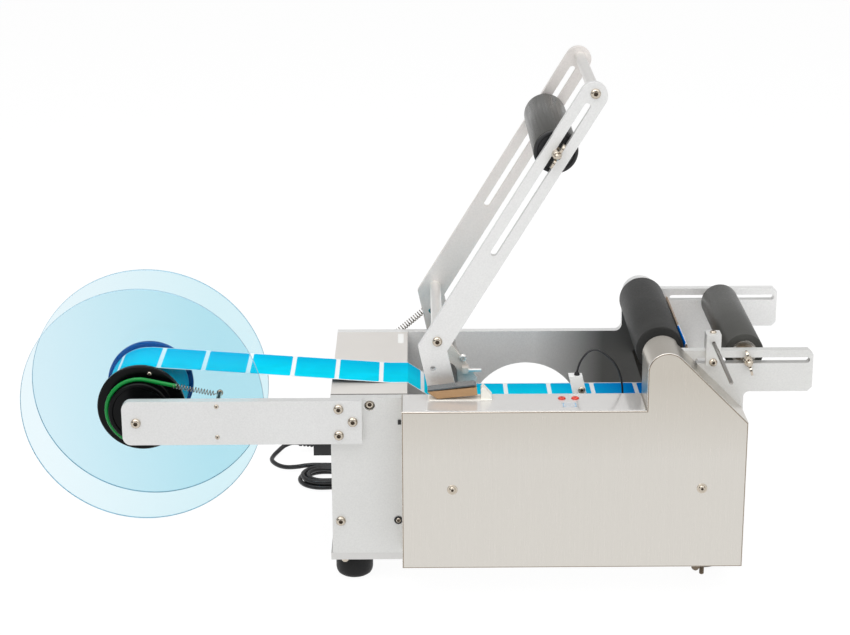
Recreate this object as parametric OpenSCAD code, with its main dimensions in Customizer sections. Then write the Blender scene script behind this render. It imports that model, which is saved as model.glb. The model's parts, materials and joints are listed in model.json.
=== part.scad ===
// Bench machine that rolls a label onto a round bottle.
// X runs along the label path, from the reel at the left to the bottle rollers at the right.
// Y runs from the front cover to the back plate and Z is up, all in millimetres.
// Inside the modules X starts at the plates' left edge and Y at the front plate's outer face.

/* [Frame] */
// Thickness of each side plate
plate_t = 10; // [8:0.5:12]
// Clear width between the side plates
inner_w = 210; // [204:1:230]
// Length of the side plates without their slotted arms
body_l = 431.5; // [425:0.5:440]
// Height of the side plates without their humps
body_h = 176; // [172:0.5:184]
// Radius of the hump round the driven roller's bearing
hump_r = 20; // [19:0.5:22]
// Height of the slotted arms
slot_arm_h = 45; // [42:0.5:46]
// Reach of the slotted arms past the side plates
slot_reach = 71; // [66:0.5:80]
// Diameter of the round opening in the back plate
back_hole_d = 130; // [100:1:134]
// Thickness of the base plate
base_t = 8; // [6:0.5:10]
// Height of the rubber feet
foot_h = 28.5; // [24:0.5:34]
// Diameter of the rubber feet
foot_d = 40; // [32:1:44]
// Diameter of the tie rods between the plates
tie_rod_d = 12; // [10:0.5:13]

/* [Front cover] */
// Depth of the cover in front of the front plate
cover_depth = 48; // [46:0.5:60]
// Thickness of the cover's sheet
cover_t = 1.5; // [1:0.1:2]
// Thickness of the panel overlay on the cover
panel_t = 0.8; // [0.5:0.1:1.5]
// Diameter of the push buttons
button_d = 7.8; // [6:0.2:9]
// Height of the push buttons above the panel
button_rise = 1.8; // [1.4:0.1:3]
// Thickness of the top sheet between the plates
sheet_t = 1.5; // [1:0.1:2]

/* [Label reel] */
// Distance of the reel's axis from the side plates
reel_reach = 202.5; // [190:0.5:215]
// Diameter of the clear discs
disc_d = 260; // [220:1:270]
// Thickness of the clear discs
disc_t = 3; // [2:0.5:4]
// Width of the label strip
label_w = 66; // [50:1:76]
// Diameter of the hub's barrel inside the roll's core
barrel_d = 75.4; // [70:0.2:76]
// Thickness of the label wound on the roll
roll_build = 5.1; // [2:0.1:20]
// Diameter of the brake drum
drum_d = 66; // [60:0.5:68]
// Diameter of the hub's flanges
flange_d = 94; // [88:1:100]
// Diameter of the reel shaft
reel_shaft_d = 12; // [10:0.5:14]
// Height of the reel bracket
bracket_h = 48; // [44:0.5:52]
// Thickness of the reel bracket
bracket_t = 10; // [8:0.5:12]
// Diameter of the brake cord
brake_cord_d = 4.5; // [3.5:0.1:5]

/* [Bottle arm] */
// Thickness of each arm
arm_t = 8; // [6:0.5:8.5]
// Width of each arm
arm_w = 28.5; // [26:0.5:30]
// Length from the pivot to the knee
arm_lower = 74; // [70:0.5:80]
// Length from the knee to the tip
arm_upper = 312; // [305:0.5:330]
// Lean of the lower length, back from upright
arm_lean = 12.35; // [10:0.05:15]
// Rise of the upper length above level
arm_rise = 58.6; // [56:0.1:62]
// Width of the slot for the press roller
arm_slot_w = 7; // [6.8:0.1:8]
// Length of the slot for the press roller
arm_slot_l = 178; // [165:1:180]
// Place of the press roller's axis along the arm, from the knee
press_at = 242.3; // [235:0.1:250]
// Diameter of the handle rod and the tie rod
arm_rod_d = 12; // [10:0.5:13]
// Diameter of the pivot bolts
pivot_d = 10; // [8:0.5:12]

/* [Rollers] */
// Room between each side plate and the ends of the rollers
roller_air = 15; // [14:0.5:25]
// Diameter of the press roller
press_d = 46; // [42:0.5:48]
// Diameter of the driven roller
drive_d = 50; // [46:0.5:52]
// Diameter of the idler
idler_d = 41.4; // [38:0.2:44]
// Distance from the driven roller's axis to the idler's
roller_pitch = 88.7; // [84:0.1:92]
// Diameter of the driven roller's shaft
drive_shaft_d = 12; // [10:0.5:13]
// Diameter of the press roller's and the idler's axles
axle_d = 6; // [5:0.1:6]
// Diameter of the guide roller
guide_d = 25; // [22:0.5:27]

/* [Label path] */
// Thickness of the label table
table_t = 3; // [2:0.5:4]
// Depth of the label table below the plates' top
table_drop = 25; // [24:0.5:27]
// Thickness of the peel plate
peel_t = 2; // [1.5:0.1:2.5]
// Thickness of the label strip
strip_t = 0.3; // [0.2:0.05:0.4]

/* [Bottle stop] */
// Length of the stop rod
stop_rod_l = 137; // [125:1:150]
// Diameter of the stop rod
stop_rod_d = 4; // [3:0.5:5]

/* [Springs and mains lead] */
// Curls of the arm's spring
arm_spring_curls = 22; // [18:1:26]
// Outer diameter of the arm's spring
arm_spring_d = 8; // [7:0.2:9]
// Wire of the arm's spring
arm_spring_wire = 1.3; // [1:0.1:1.4]
// Curls of the brake spring
brake_spring_curls = 15; // [12:1:18]
// Outer diameter of the brake spring
brake_spring_d = 5.6; // [5:0.1:6.5]
// Wire of the brake spring
brake_spring_wire = 0.9; // [0.7:0.1:1]
// Diameter of the mains lead
cord_d = 5.5; // [5:0.1:5.6]

/* [Hidden] */
$fn = 64;

// Air between pieces that move past each other
gap = 0.3;
// Radial running fit of a shaft in its bore
fit = 0.05;
// Radial fit of a piece that is pressed or screwed in
seat = 0.02;
// How far a cut runs past the face that it opens
cut = 1;

// Heights
base_z = foot_h;
body_z = base_z + base_t;
top_z = body_z + body_h;
// Depths of the two plates
inner_y = plate_t;
back_y = inner_y + inner_w;
out_y = back_y + plate_t;
roller_y0 = inner_y + roller_air;
roller_y1 = back_y - roller_air;

// Screws: shank, head diameter, head height, key width
m6 = [6, 10.5, 3.3, 4];
m5 = [5, 8.5, 4, 3];
m4 = [4, 7, 2.2, 2.5];
m3 = [3, 5, 1.2, 1.6];
screw_bite = 12;

// Driven roller, idler and slotted arms
drive_inset = 85.7;
drive_rise = 43.3;
drive_x = body_l - drive_inset;
drive_z = top_z + drive_rise;
bearing_d = 28;
bearing_w = 8;
slot_arm_rise = 5;
slot_arm_z0 = top_z + slot_arm_rise;
slot_arm_z1 = slot_arm_z0 + slot_arm_h;
idler_drop = 10.9;
idler_x = drive_x + roller_pitch;
idler_z = slot_arm_z1 - idler_drop;
slot_arm_x1 = body_l + slot_reach;
slot_chamfer = 4.7;
idler_slot_w = axle_d + 0.4;
idler_slot_x0 = drive_x + 37;
idler_slot_x1 = slot_arm_x1 - 6.5;
hump_fillet = 8;
slot_fillet = 6;
front_hump_r = hump_r - cover_t;
back_hole_rise = 73;
back_hole_at = [body_l / 2, body_z + back_hole_rise];

// Tie rods between the plates, and what holds them
rods = [[41.1, top_z - 8.5], [9, body_z + 37], [body_l - 17, body_z + 24], [body_l - 27, top_z - 27]];
counterbore_d = 11;
counterbore_depth = 6;
base_screw_x = [12.8, body_l / 2, body_l - 12];
base_screw_bite = 6;
base_lip = 2;
foot_round = 8;
foot_x = [22, body_l - 27.5];
foot_inset = [30, 50];
foot_at = [for (i = [0, 1], y = [foot_inset[i], out_y - foot_inset[i]]) [foot_x[i], y]];

// Front cover
cover_gap = 0.2;
cover_x0 = 74.5;
cover_x1 = body_l - 1.3;
cover_z0 = body_z + 3.2;
cover_top = top_z + cover_gap + cover_t;
cover_hump_r = front_hump_r + gap + cover_t;
cover_lap = 4;
post_d = 10;
posts = [[126.7, body_z + 92], [body_l - 46.5, body_z + 92]];
wing_screw_at = [body_l - 39.5, -22];
wing_screw_drop = 20;

// Panel, display and buttons
panel_x0 = cover_x0 + 1.5;
panel_x1 = drive_x - cover_hump_r - 1;
panel_y0 = 1 - cover_depth;
panel_y1 = cover_lap - 1.5;
panel_top = cover_top + panel_t;
display_x = [239.9, 255.6];
display_y = [-37.9, -23.4];
display_edge = 0.1;
buttons = [[241, -11.8], [254.8, -11.7]];
button_hole_d = button_d + 0.4;
button_collar_d = button_d + 2.6;
button_collar_t = 1.2;
button_travel = 1;
board_z = cover_top - cover_t - 9.7;
board_t = 1.6;

// Arm switch on the panel
switch_x = 102.5;
switch_l = 51;
switch_y = [-16, -2];
switch_h = 8.5;
switch_bevel = 9;
switch_tilt = 5;
switch_pad_t = 0.8;
lever_t = 1.6;
lever_open = 2;
wedge_x = 157;
wedge_l = 11.5;
wedge_h = 13.6;

// Reel
reel_x = -reel_reach;
bracket_x0 = reel_x - 14.5;
bracket_x1 = 33.2;
bracket_z0 = top_z + 0.5 - bracket_h;
bracket_round = 9;
reel_z = bracket_z0 + bracket_h / 2 + 0.5;
bracket_screws = [[8.9, reel_z + 14.3], [23.5, reel_z + 0.2], [8.9, reel_z - 14.8]];
collar_d = 22;
drum_y0 = 20;
drum_y1 = drum_y0 + 16;
disc_y0 = drum_y1 + 6;
label_y0 = disc_y0 + disc_t + 1.5;
label_y1 = label_y0 + label_w;
disc_y1 = label_y1 + 1.5;
hub_y1 = disc_y1 + disc_t;
back_flange_t = 6;
hub_wall = 4;
hub_screw_r = flange_d / 2 - 7;
roll_d = barrel_d + 2 * roll_build;

// Brake posts, cord and spring
brake_post_x = reel_x + 84.5;
brake_posts = [[brake_post_x, reel_z + 18], [brake_post_x, reel_z - 16]];
brake_post_d = 5;
brake_y = drum_y0 + 6.6;
brake_r = drum_d / 2 + gap + brake_cord_d / 2;
brake_run = 33;
ferrule_d = 6.5;
ferrule_l = 5;

// Bottle arm
arm_gap = 1;
arm_y0 = inner_y + arm_gap;
arm_y1 = back_y - arm_gap;
pivot = [123, top_z - 22.5];
arm_d1 = [-sin(arm_lean), cos(arm_lean)];
arm_d2 = [cos(arm_rise), sin(arm_rise)];
knee = pivot + arm_lower * arm_d1;
tip = knee + arm_upper * arm_d2;
handle_at = tip + 3 * arm_d2;
arm_tie_at = knee + 9.6 * arm_d2;
arm_slot_1 = arm_upper - 12.6;
arm_slot_0 = arm_slot_1 - arm_slot_l;
press_c = knee + press_at * arm_d2;
arm_pin_at = knee - 21.5 * arm_d1 + 4.4 * [-arm_d1[1], arm_d1[0]];
arm_pin_d = 6;
pivot_head_d = 18;
pivot_head_t = 5;

// Arm spring, outside the back plate
spring_y = out_y + 6;
spring_post = [45, top_z - 25.5];
spring_post_d = 6;
spring_pin_y1 = spring_y + arm_spring_d / 2 + 2;

// Wing nuts: bore is added by the axle that they clamp
wing_boss_d = 11;
wing_boss_h = 8;
wing_d = 11;
wing_t = 2.4;
clamp_nut_t = 4;

// Bottle stop
stop_x = [drive_x + 44.3, drive_x + 59.6];
stop_mid = (stop_x[0] + stop_x[1]) / 2;
stop_lip_t = 5;
stop_lip_h = 15;
stop_top = slot_arm_z1 + 18.8;
stop_y1 = plate_t + 1;
stop_rod_z = slot_arm_z1 + 9.5;
stop_rod_y1 = stop_y1;
stop_rod_y0 = stop_rod_y1 - stop_rod_l;
stop_gap = 0.2;
stop_clamp_d = 5;

// Label path
table_z = top_z - table_drop;
table_x = [128, drive_x - 7.8];
table_y0 = arm_y0 + arm_t + 2;
table_y1 = disc_y1;
flange_x = [150, table_x[1] - 3];
flange_h = 24;
lift = 0.1;
strip_z = table_z + lift + strip_t / 2;
guide_at = [122.5, table_z + 2 * lift + strip_t + guide_d / 2];
guide_axle_d = 8;
guide_plate_t = 6;
peel_top = drive_z - 2.8;
peel_x = drive_x + drive_d / 2 + 5.6;
peel_low = [table_x[1] + 1.5, table_z - 1];
peel_bend = [peel_x, top_z + 14];
sensor_x = drive_x - 85.8;
sensor_w = 14.5;
sensor_lean = 9.4;
sensor_y = [table_y0 + 0.5, table_y0 + 13];
sensor_h = 39.5;
sensor_top = table_z + sensor_h;
fibre_d = 2.2;
fibre_at = [sensor_x, table_y0 + 6.5, table_z];

// Drive, behind the cover
pulley_r = 12;
belt_t = 1.5;
belt_w = 12;
belt_y = [24 - cover_depth, 9 - cover_depth];
motor_w = 86;
motor_l = 80;
motor_inset = 96.5;
motor_rise = 63.5;
motor_at = [body_l - motor_inset, body_z + motor_rise];
motor_shaft_d = 14;
traction_at = [120, body_z + 38.5];
traction_d = 30;
traction_shaft_d = 10;
supply_x = 150;
supply_l = 120;
supply_h = 50;
controller_x = 40;
controller_l = 50;
controller_h = 72;
electronics_y = [table_y1 + 4, back_y - 12];

// Mains lead
gland_at = [back_hole_at[0] - back_hole_d / 2 - 0.75, body_z + 23.5];
gland_l = 32;
gland_flange_t = 4;
cord_home = [gland_at[0], out_y + gland_l, 0];
plug_at = cord_home + [-208, 123, 12];
plug_relief_l = 19;
plug_l = 36;
plug_w = 26;
plug_h = 24;
plug_pin_d = 4.8;
plug_pin_l = 19;
hank_loops = 4;
hank_half = 33;
hank_fold_r = 16.5;
hank_step = 6.7;
hank_draw = 0.1;
hank_layer = 6;
hank_entry = cord_home + [-101, 54, 4];
hank_straight = 6;
tie_t = 0.9;
tie_w = 4;
lead_route = [for (p = [
    [0, 0, gland_at[1]], [0, 12, gland_at[1]], [-0.5, 24, 57.5], [-4, 35, 51], [-11, 44, 41], [-21, 50, 29],
    [-33, 53, 17], [-46, 54, 9], [-60, 54, 5], [-73, 54, 4], [-87, 54, 4], [-101, 54, 4],
]) cord_home + p];
tail_route = [for (p = [
    [-179, 54, 10], [-187, 54, 10], [-197, 54.5, 9], [-207, 57, 6.5], [-219, 62, 4], [-229, 70, 2.8],
    [-237, 81, 2.8], [-240, 92, 2.8], [-238, 103, 3.5], [-233, 113, 5.5], [-226, 119.5, 9.5], [-217, 123, 12],
    [-208, 123, 12],
]) cord_home + p];
fibre_route = [for (p = [
    [-0.5, 0, sensor_h], [-0.3, 0, 43.5], [1.8, 0, 51.5], [5.8, 0, 59], [11, 0, 65], [17.5, 0, 67.5],
    [23.5, 0, 66], [29, 0, 62.5], [34, 0, 58], [38.5, 0, 53], [43.5, 0, 44], [46.5, 0, 34], [48, 0, 22.5],
    [48.5, 0, 10.5], [48.5, 0, 0],
]) fibre_at + p];

// Row frame: the middle of the object's length and depth, without the mains lead
origin_x = (reel_x - disc_d / 2 + slot_arm_x1) / 2;
back_reach = max(spring_pin_y1, out_y + stop_gap + wing_boss_h + wing_d / 2);
origin_y = (stop_rod_y0 + back_reach) / 2;

// Vectors and outlines

function unit(v) = v / norm(v);
function left_of(v) = [-v[1], v[0]];
function along(a, b) = unit(b - a);

// Sideways step of a thin band's edge at point i of its middle line
function mitre(p, i) =
    let (
        before = i > 0 ? left_of(along(p[i - 1], p[i])) : left_of(along(p[0], p[1])),
        after = i < len(p) - 1 ? left_of(along(p[i], p[i + 1])) : before
    )
    (before + after) / (1 + before * after);

// Outline of a band of thickness t along the points p
function band(p, t) = concat(
    [for (i = [0 : len(p) - 1]) p[i] + t / 2 * mitre(p, i)],
    [for (i = [len(p) - 1 : -1 : 0]) p[i] - t / 2 * mitre(p, i)]
);

function arc(c, r, a0, a1, n) = [for (i = [0 : n]) let (a = a0 + (a1 - a0) * i / n) c + r * [cos(a), sin(a)]];

// Angle at c where a tangent from the point p touches a circle of radius r, on one side
function touch_angle(p, c, r, side) =
    let (v = p - c)
    atan2(v[1], v[0]) + side * acos(r / norm(v));

// Tubes swept along points

function tangent(p, i) =
    i == 0 ? along(p[0], p[1])
    : i == len(p) - 1 ? along(p[i - 1], p[i])
    : unit(along(p[i - 1], p[i]) + along(p[i], p[i + 1]));

function across(v, t) = unit(v - (v * t) * t);

// A direction square to the tube at each point, carried along without twist
function carried(t, first) = [
    for (i = 0, u = across(first, t[0]); i < len(t); i = i + 1, u = i < len(t) ? across(u, t[i]) : u) u
];

module tube(p, d, sides, first) {
    n = len(p);
    t = [for (i = [0 : n - 1]) tangent(p, i)];
    u = carried(t, first);
    points = [
        for (i = [0 : n - 1], k = [0 : sides - 1])
            let (a = 360 * k / sides)
            p[i] + d / 2 * (cos(a) * u[i] + sin(a) * cross(t[i], u[i]))
    ];
    last = (n - 1) * sides;
    walls = [
        for (i = [0 : n - 2], k = [0 : sides - 1], half = [0, 1])
            let (
                a = i * sides + k,
                b = i * sides + (k + 1) % sides
            )
            half == 0 ? [a, a + sides, b + sides] : [a, b + sides, b]
    ];
    caps = [
        for (k = [1 : sides - 2], end = [0, 1])
            end == 0 ? [0, k, k + 1] : [last, last + k + 1, last + k]
    ];
    polyhedron(points = points, faces = concat(walls, caps), convexity = 10);
}

// Least gap of a tube to itself, between points at least apart rings from each other
function self_gap(p, d, apart) =
    min([for (i = [0 : len(p) - 1 - apart], j = [i + apart : len(p) - 1]) norm(p[i] - p[j])]) - d;

// Points of a spring from a to b, whose curls draw in to its axis at both ends
function spring_points(a, b, d, wire, curls) =
    let (
        axis = along(a, b),
        side = across([0, 1, 0], axis),
        up = cross(axis, side),
        lead = 2.2 * wire,
        length = norm(b - a) - 2 * lead,
        r = (d - wire) / 2,
        rings = 8 * curls
    )
    concat(
        [a, a + wire * axis],
        [
            for (i = [0 : rings])
                let (
                    f = i / rings,
                    reach = r * min(1, min(i, rings - i) / 6 + 0.12)
                )
                a + (lead + f * length) * axis + reach * (cos(45 * i) * side + sin(45 * i) * up)
        ],
        [b - wire * axis, b]
    );

// Points of the hank: loops that spiral in on one layer and out again on the next
hank_turns = hank_loops + 1 / 6;
hank_r0 = hank_fold_r + hank_step * hank_turns / 2;
hank_c = hank_entry - [hank_straight + hank_half, hank_r0, 0];

function waist(x) = 1 - hank_draw * (1 + cos(180 * x / hank_half)) / 2;
function ease(f) = let (c = max(0, min(1, f))) c * c * (3 - 2 * c);

function hank_point(turn) =
    let (
        r = hank_fold_r + hank_step * abs(turn - hank_turns / 2),
        f = turn - floor(turn + 0.0001),
        z = hank_layer * ease((turn - hank_loops / 2) * 6),
        run = f < 1 / 6 ? hank_half * (1 - 12 * f) : hank_half * (12 * (f - 1 / 2) - 1),
        fold = f < 1 / 2 ? 90 + 540 * (f - 1 / 6) : 270 + 540 * (f - 2 / 3),
        flat = f < 1 / 6 ? [run, r * waist(run)]
            : f < 1 / 2 ? [-hank_half + r * cos(fold), r * sin(fold)]
            : f < 2 / 3 ? [run, -r * waist(run)]
            : [hank_half + r * cos(fold), r * sin(fold)]
    )
    hank_c + [flat[0], flat[1], z];

hank_exit = hank_entry + [-2 * (hank_straight + hank_half), 0, hank_layer];
hank_points = concat(
    [hank_entry],
    [for (i = [0 : 24 * hank_loops + 4]) hank_point(i / 24)],
    [hank_exit]
);

// Brake cord: from the lower post under the drum, round it, and over towards the upper post
brake_c = [reel_x, reel_z];
brake_a0 = touch_angle(brake_posts[1], brake_c, brake_r, -1);
brake_a1 = touch_angle(brake_posts[0], brake_c, brake_r, 1) - 360;
brake_wrap = arc(brake_c, brake_r, brake_a0, brake_a1, 28);
brake_off = brake_wrap[28];
brake_dir = along(brake_off, brake_posts[0]);
brake_start = brake_posts[1] + (brake_post_d / 2 + gap) * along(brake_posts[1], brake_wrap[0]);
brake_end = brake_off + brake_run * brake_dir;
brake_line = concat([brake_start], brake_wrap, [brake_end]);
brake_spring_a = brake_end + (ferrule_l + gap) * brake_dir;
brake_spring_b = brake_posts[0] - (brake_post_d / 2 + gap) * brake_dir;

function at_depth(p, y) = [p[0], y, p[1]];

brake_spring_points = spring_points(
    at_depth(brake_spring_a, brake_y), at_depth(brake_spring_b, brake_y),
    brake_spring_d, brake_spring_wire, brake_spring_curls
);

// Arm spring: from its post on the back plate to the pin in the back arm
arm_spring_dir = along(spring_post, arm_pin_at);
arm_spring_a = spring_post + (spring_post_d / 2 + gap) * arm_spring_dir;
arm_spring_b = arm_pin_at - (arm_pin_d / 2 + gap) * arm_spring_dir;
arm_spring_points = spring_points(
    at_depth(arm_spring_a, spring_y), at_depth(arm_spring_b, spring_y),
    arm_spring_d, arm_spring_wire, arm_spring_curls
);

echo(hank_gap = self_gap(hank_points, cord_d, 6));
echo(brake_spring_gap = self_gap(brake_spring_points, brake_spring_wire, 6));
echo(arm_spring_gap = self_gap(arm_spring_points, arm_spring_wire, 6));

// Shared shapes

module in_frame() {
    translate([-origin_x, -origin_y, 0]) children();
}

// Round bar along Y
module bar_y(at, y0, y1, d) {
    translate([at[0], y1, at[1]]) rotate([90, 0, 0]) cylinder(d = d, h = y1 - y0);
}

// Hole along Y that runs past both faces
module hole_y(at, y0, y1, d) {
    bar_y(at, y0 - cut, y1 + cut, d);
}

// Ring along Y
module ring_y(at, y0, y1, d, bore) {
    difference() {
        bar_y(at, y0, y1, d);
        hole_y(at, y0, y1, bore);
    }
}

// Slab along Y of an outline drawn in X and Z
module slab_y(y0, y1) {
    translate([0, y1, 0]) rotate([90, 0, 0]) linear_extrude(y1 - y0) children();
}

// Screw along Y, with its head against seat_y and its shank towards way
module screw_y(at, seat_y, way, size, length) {
    translate([at[0], seat_y, at[1]]) rotate([-90 * way, 0, 0]) screw(size, length);
}

// Screw whose shank points up from its head's seat at zero
module screw(size, length) {
    crown = size[2] / 2;
    difference() {
        union() {
            cylinder(d = size[0], h = length);
            translate([0, 0, -crown]) cylinder(d = size[1], h = crown);
            translate([0, 0, -size[2]]) cylinder(d1 = 0.64 * size[1], d2 = size[1], h = crown);
        }
        translate([0, 0, -size[2] - cut]) cylinder(d = size[3] / cos(30), h = size[2] * 0.7 + cut, $fn = 6);
    }
}

// Wing nut that rises from zero, its wings turned by turn
module wing_nut(bore, turn) {
    rotate([0, 0, turn]) difference() {
        union() {
            cylinder(d1 = wing_boss_d, d2 = 0.8 * wing_boss_d, h = wing_boss_h);
            for (side = [-1, 1])
                translate([side * 8.5, wing_t / 2, wing_boss_h])
                    rotate([90, 0, 0]) cylinder(d = wing_d, h = wing_t);
        }
        translate([0, 0, -cut]) cylinder(d = bore, h = wing_boss_h + 2 * cut);
    }
}

module wing_nut_y(at, seat_y, way, bore, turn) {
    translate([at[0], seat_y, at[1]]) rotate([-90 * way, 0, 0]) wing_nut(bore, turn);
}

// Slot with round ends along a line of the X and Z plane
module slot_outline(a, b, w) {
    turn = atan2(b[1] - a[1], b[0] - a[0]);
    polygon(concat(arc(b, w / 2, turn - 90, turn + 90, 24), arc(a, w / 2, turn + 90, turn + 270, 24)));
}

// Fillet in a corner, filling towards the signs of its two directions
module fillet_outline(at, r, sx, sz) {
    translate(at) scale([sx, sz]) difference() {
        square(r);
        translate([r, r]) circle(r);
    }
}

// Frame

module base_plate() color("silver") in_frame() difference() {
    translate([-base_lip, 0, base_z]) cube([body_l + 2 * base_lip, out_y, base_t]);
    for (p = foot_at)
        translate([p[0], p[1], base_z - cut]) cylinder(d = m6[0] + 2 * seat, h = base_t + 2 * cut);
    for (x = base_screw_x, y = [plate_t / 2, out_y - plate_t / 2])
        translate([x, y, base_z - cut]) cylinder(d = m5[0] + 2 * seat, h = base_t + 2 * cut);
}

module feet() color("dimgray") in_frame() for (p = foot_at) translate([p[0], p[1], 0]) {
    rotate_extrude() {
        square([foot_d / 2 - foot_round, foot_h]);
        translate([0, foot_round]) square([foot_d / 2, foot_h - foot_round]);
        translate([foot_d / 2 - foot_round, foot_round]) circle(foot_round);
    }
    translate([0, 0, foot_h]) cylinder(d = m6[0], h = base_t);
}

module plate_outline(r) {
    translate([0, body_z]) square([body_l, body_h]);
    polygon([
        [drive_x - r, top_z - cut], [body_l, top_z - cut], [body_l, slot_arm_z0],
        [slot_arm_x1 - slot_chamfer, slot_arm_z0], [slot_arm_x1, slot_arm_z0 + slot_chamfer],
        [slot_arm_x1, slot_arm_z1 - slot_chamfer], [slot_arm_x1 - slot_chamfer, slot_arm_z1],
        [drive_x, slot_arm_z1], [drive_x, drive_z], [drive_x - r, drive_z],
    ]);
    translate([drive_x, drive_z]) circle(r);
    fillet_outline([body_l, slot_arm_z0], slot_fillet, 1, -1);
}

// Holes that both side plates have
module plate_holes() {
    slot_outline([idler_slot_x0, idler_z], [idler_slot_x1, idler_z], idler_slot_w);
    translate([drive_x, drive_z]) circle(d = bearing_d + 2 * seat);
    translate(pivot) circle(d = pivot_d + 2 * seat);
    translate(traction_at) circle(d = traction_shaft_d + 2 * fit);
    for (p = rods) translate(p) circle(d = m6[0] + 2 * seat);
}

module base_screw_holes(y) {
    for (x = base_screw_x)
        translate([x, y, body_z - cut]) cylinder(d = m5[0] + 2 * seat, h = base_screw_bite + cut + seat);
}

module front_plate() color("gainsboro") in_frame() difference() {
    slab_y(0, inner_y) difference() {
        plate_outline(front_hump_r);
        plate_holes();
        for (p = bracket_screws) translate(p) circle(d = m6[0] + 2 * seat);
        for (p = posts) translate(p) circle(d = m6[0] + 2 * seat);
        translate(motor_at) circle(d = motor_shaft_d + 2);
    }
    bar_y(rods[0], -cut, counterbore_depth, counterbore_d);
    base_screw_holes(plate_t / 2);
}

module back_plate() color("gainsboro") in_frame() difference() {
    slab_y(back_y, out_y) difference() {
        union() {
            plate_outline(hump_r);
            fillet_outline([drive_x - hump_r, top_z], hump_fillet, -1, 1);
        }
        plate_holes();
        translate(back_hole_at) circle(d = back_hole_d);
        translate(spring_post) circle(d = m6[0] + 2 * seat);
        translate(gland_at) circle(d = cord_d + 2);
    }
    base_screw_holes(out_y - plate_t / 2);
}

module frame_rods() color("silver") in_frame() {
    for (p = rods) difference() {
        bar_y(p, inner_y, back_y, tie_rod_d);
        bar_y(p, inner_y - cut, inner_y + screw_bite, m6[0] + 2 * seat);
        bar_y(p, back_y - screw_bite, back_y + cut, m6[0] + 2 * seat);
    }
    for (p = posts) difference() {
        union() {
            bar_y(p, cover_t - cover_depth, 0, post_d);
            bar_y(p, 0, plate_t, m6[0]);
        }
        bar_y(p, -cover_depth, cover_t - cover_depth + screw_bite, m4[0] + 2 * seat);
    }
}

module fasteners() color("lightgray") in_frame() {
    reach = plate_t + screw_bite - 2;
    for (i = [0 : len(rods) - 1]) {
        sunk = i == 0 ? counterbore_depth : 0;
        screw_y(rods[i], sunk, 1, m6, reach - sunk);
        screw_y(rods[i], out_y, -1, m6, reach);
    }
    for (p = bracket_screws) screw_y(p, -bracket_t, 1, m6, bracket_t + plate_t - 1);
    for (p = posts) screw_y(p, -cover_depth, 1, m4, screw_bite - 2);
    for (p = brake_posts) screw_y(p, -bracket_t, 1, m3, bracket_t - 1);
    for (x = base_screw_x, y = [plate_t / 2, out_y - plate_t / 2])
        translate([x, y, base_z]) screw(m5, base_t + base_screw_bite);
    screw_y([reel_x, reel_z], -bracket_t, 1, m6, bracket_t + screw_bite - 2);
    translate([wing_screw_at[0], wing_screw_at[1], cover_z0]) {
        mirror([0, 0, 1]) wing_nut(m5[0] + 2 * seat, 30);
        translate([0, 0, -wing_screw_drop]) cylinder(d = m5[0], h = wing_screw_drop + cover_t + 6);
        translate([0, 0, cover_t]) difference() {
            cylinder(d = 9, h = clamp_nut_t, $fn = 6);
            translate([0, 0, -cut]) cylinder(d = m5[0] + 2 * seat, h = clamp_nut_t + 2 * cut);
        }
    }
}

module top_cover() color("whitesmoke") in_frame() {
    y0 = inner_y + gap;
    w = inner_w - 2 * gap;
    l = cover_x0 + 6;
    lip = 12;
    translate([0, y0, top_z - sheet_t]) cube([l, w, sheet_t]);
    translate([0, y0, body_z]) cube([sheet_t, w, body_h - sheet_t]);
    translate([l - sheet_t, y0, top_z - lip]) cube([sheet_t, w, lip - sheet_t]);
}

// Front cover, panel and buttons

module cover_outline(inset) {
    r = cover_hump_r - inset;
    x0 = cover_x0 + inset;
    x1 = cover_x1 - inset;
    z0 = cover_z0 + inset;
    z1 = cover_top - inset;
    slope_z = drive_z + r * sqrt(2) - (x1 - drive_x);
    polygon([
        [x0, z0], [x1, z0], [x1, slope_z], [drive_x + r * cos(45), drive_z + r * sin(45)],
        [drive_x, drive_z], [drive_x - r, drive_z], [drive_x - r, z1], [x0, z1],
    ]);
    translate([drive_x, drive_z]) circle(r);
}

module cover_skin() {
    difference() {
        cover_outline(0);
        cover_outline(cover_t);
    }
}

module front_cover() color("lightsteelblue") in_frame() difference() {
    union() {
        difference() {
            slab_y(-cover_depth, 0) cover_outline(0);
            slab_y(cover_t - cover_depth, cut) cover_outline(cover_t);
        }
        slab_y(0, cover_lap) intersection() {
            cover_skin();
            translate([cover_x0, cover_top - cover_t])
                square([drive_x - cover_x0, drive_z - cover_top + cover_t]);
        }
        slab_y(0, plate_t - gap) intersection() {
            cover_skin();
            polygon([
                [drive_x, drive_z], [drive_x, drive_z] + 2 * hump_r * [1, 1],
                [drive_x - 2 * hump_r, drive_z + 2 * hump_r], [drive_x - 2 * hump_r, drive_z],
            ]);
        }
    }
    for (p = posts) hole_y(p, -cover_depth, cover_t - cover_depth, m4[0] + 2 * seat);
    for (p = buttons)
        translate([p[0], p[1], cover_top - cover_t - cut]) cylinder(d = button_hole_d, h = cover_t + 2 * cut);
    translate([display_x[0] + 1, display_y[0] + 1, cover_top - cover_t - cut])
        cube([display_x[1] - display_x[0] - 2, display_y[1] - display_y[0] - 2, cover_t + 2 * cut]);
    translate([wing_screw_at[0], wing_screw_at[1], cover_z0 - cut])
        cylinder(d = m5[0] + 2 * seat, h = cover_t + 2 * cut);
}

module control_panel() color("lightslategray") in_frame() difference() {
    translate([panel_x0, panel_y0, cover_top]) cube([panel_x1 - panel_x0, panel_y1 - panel_y0, panel_t]);
    for (p = buttons)
        translate([p[0], p[1], cover_top - cut]) cylinder(d = button_hole_d, h = panel_t + 2 * cut);
    translate([display_x[0], display_y[0], cover_top - cut])
        cube([display_x[1] - display_x[0], display_y[1] - display_y[0], panel_t + 2 * cut]);
}

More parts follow.
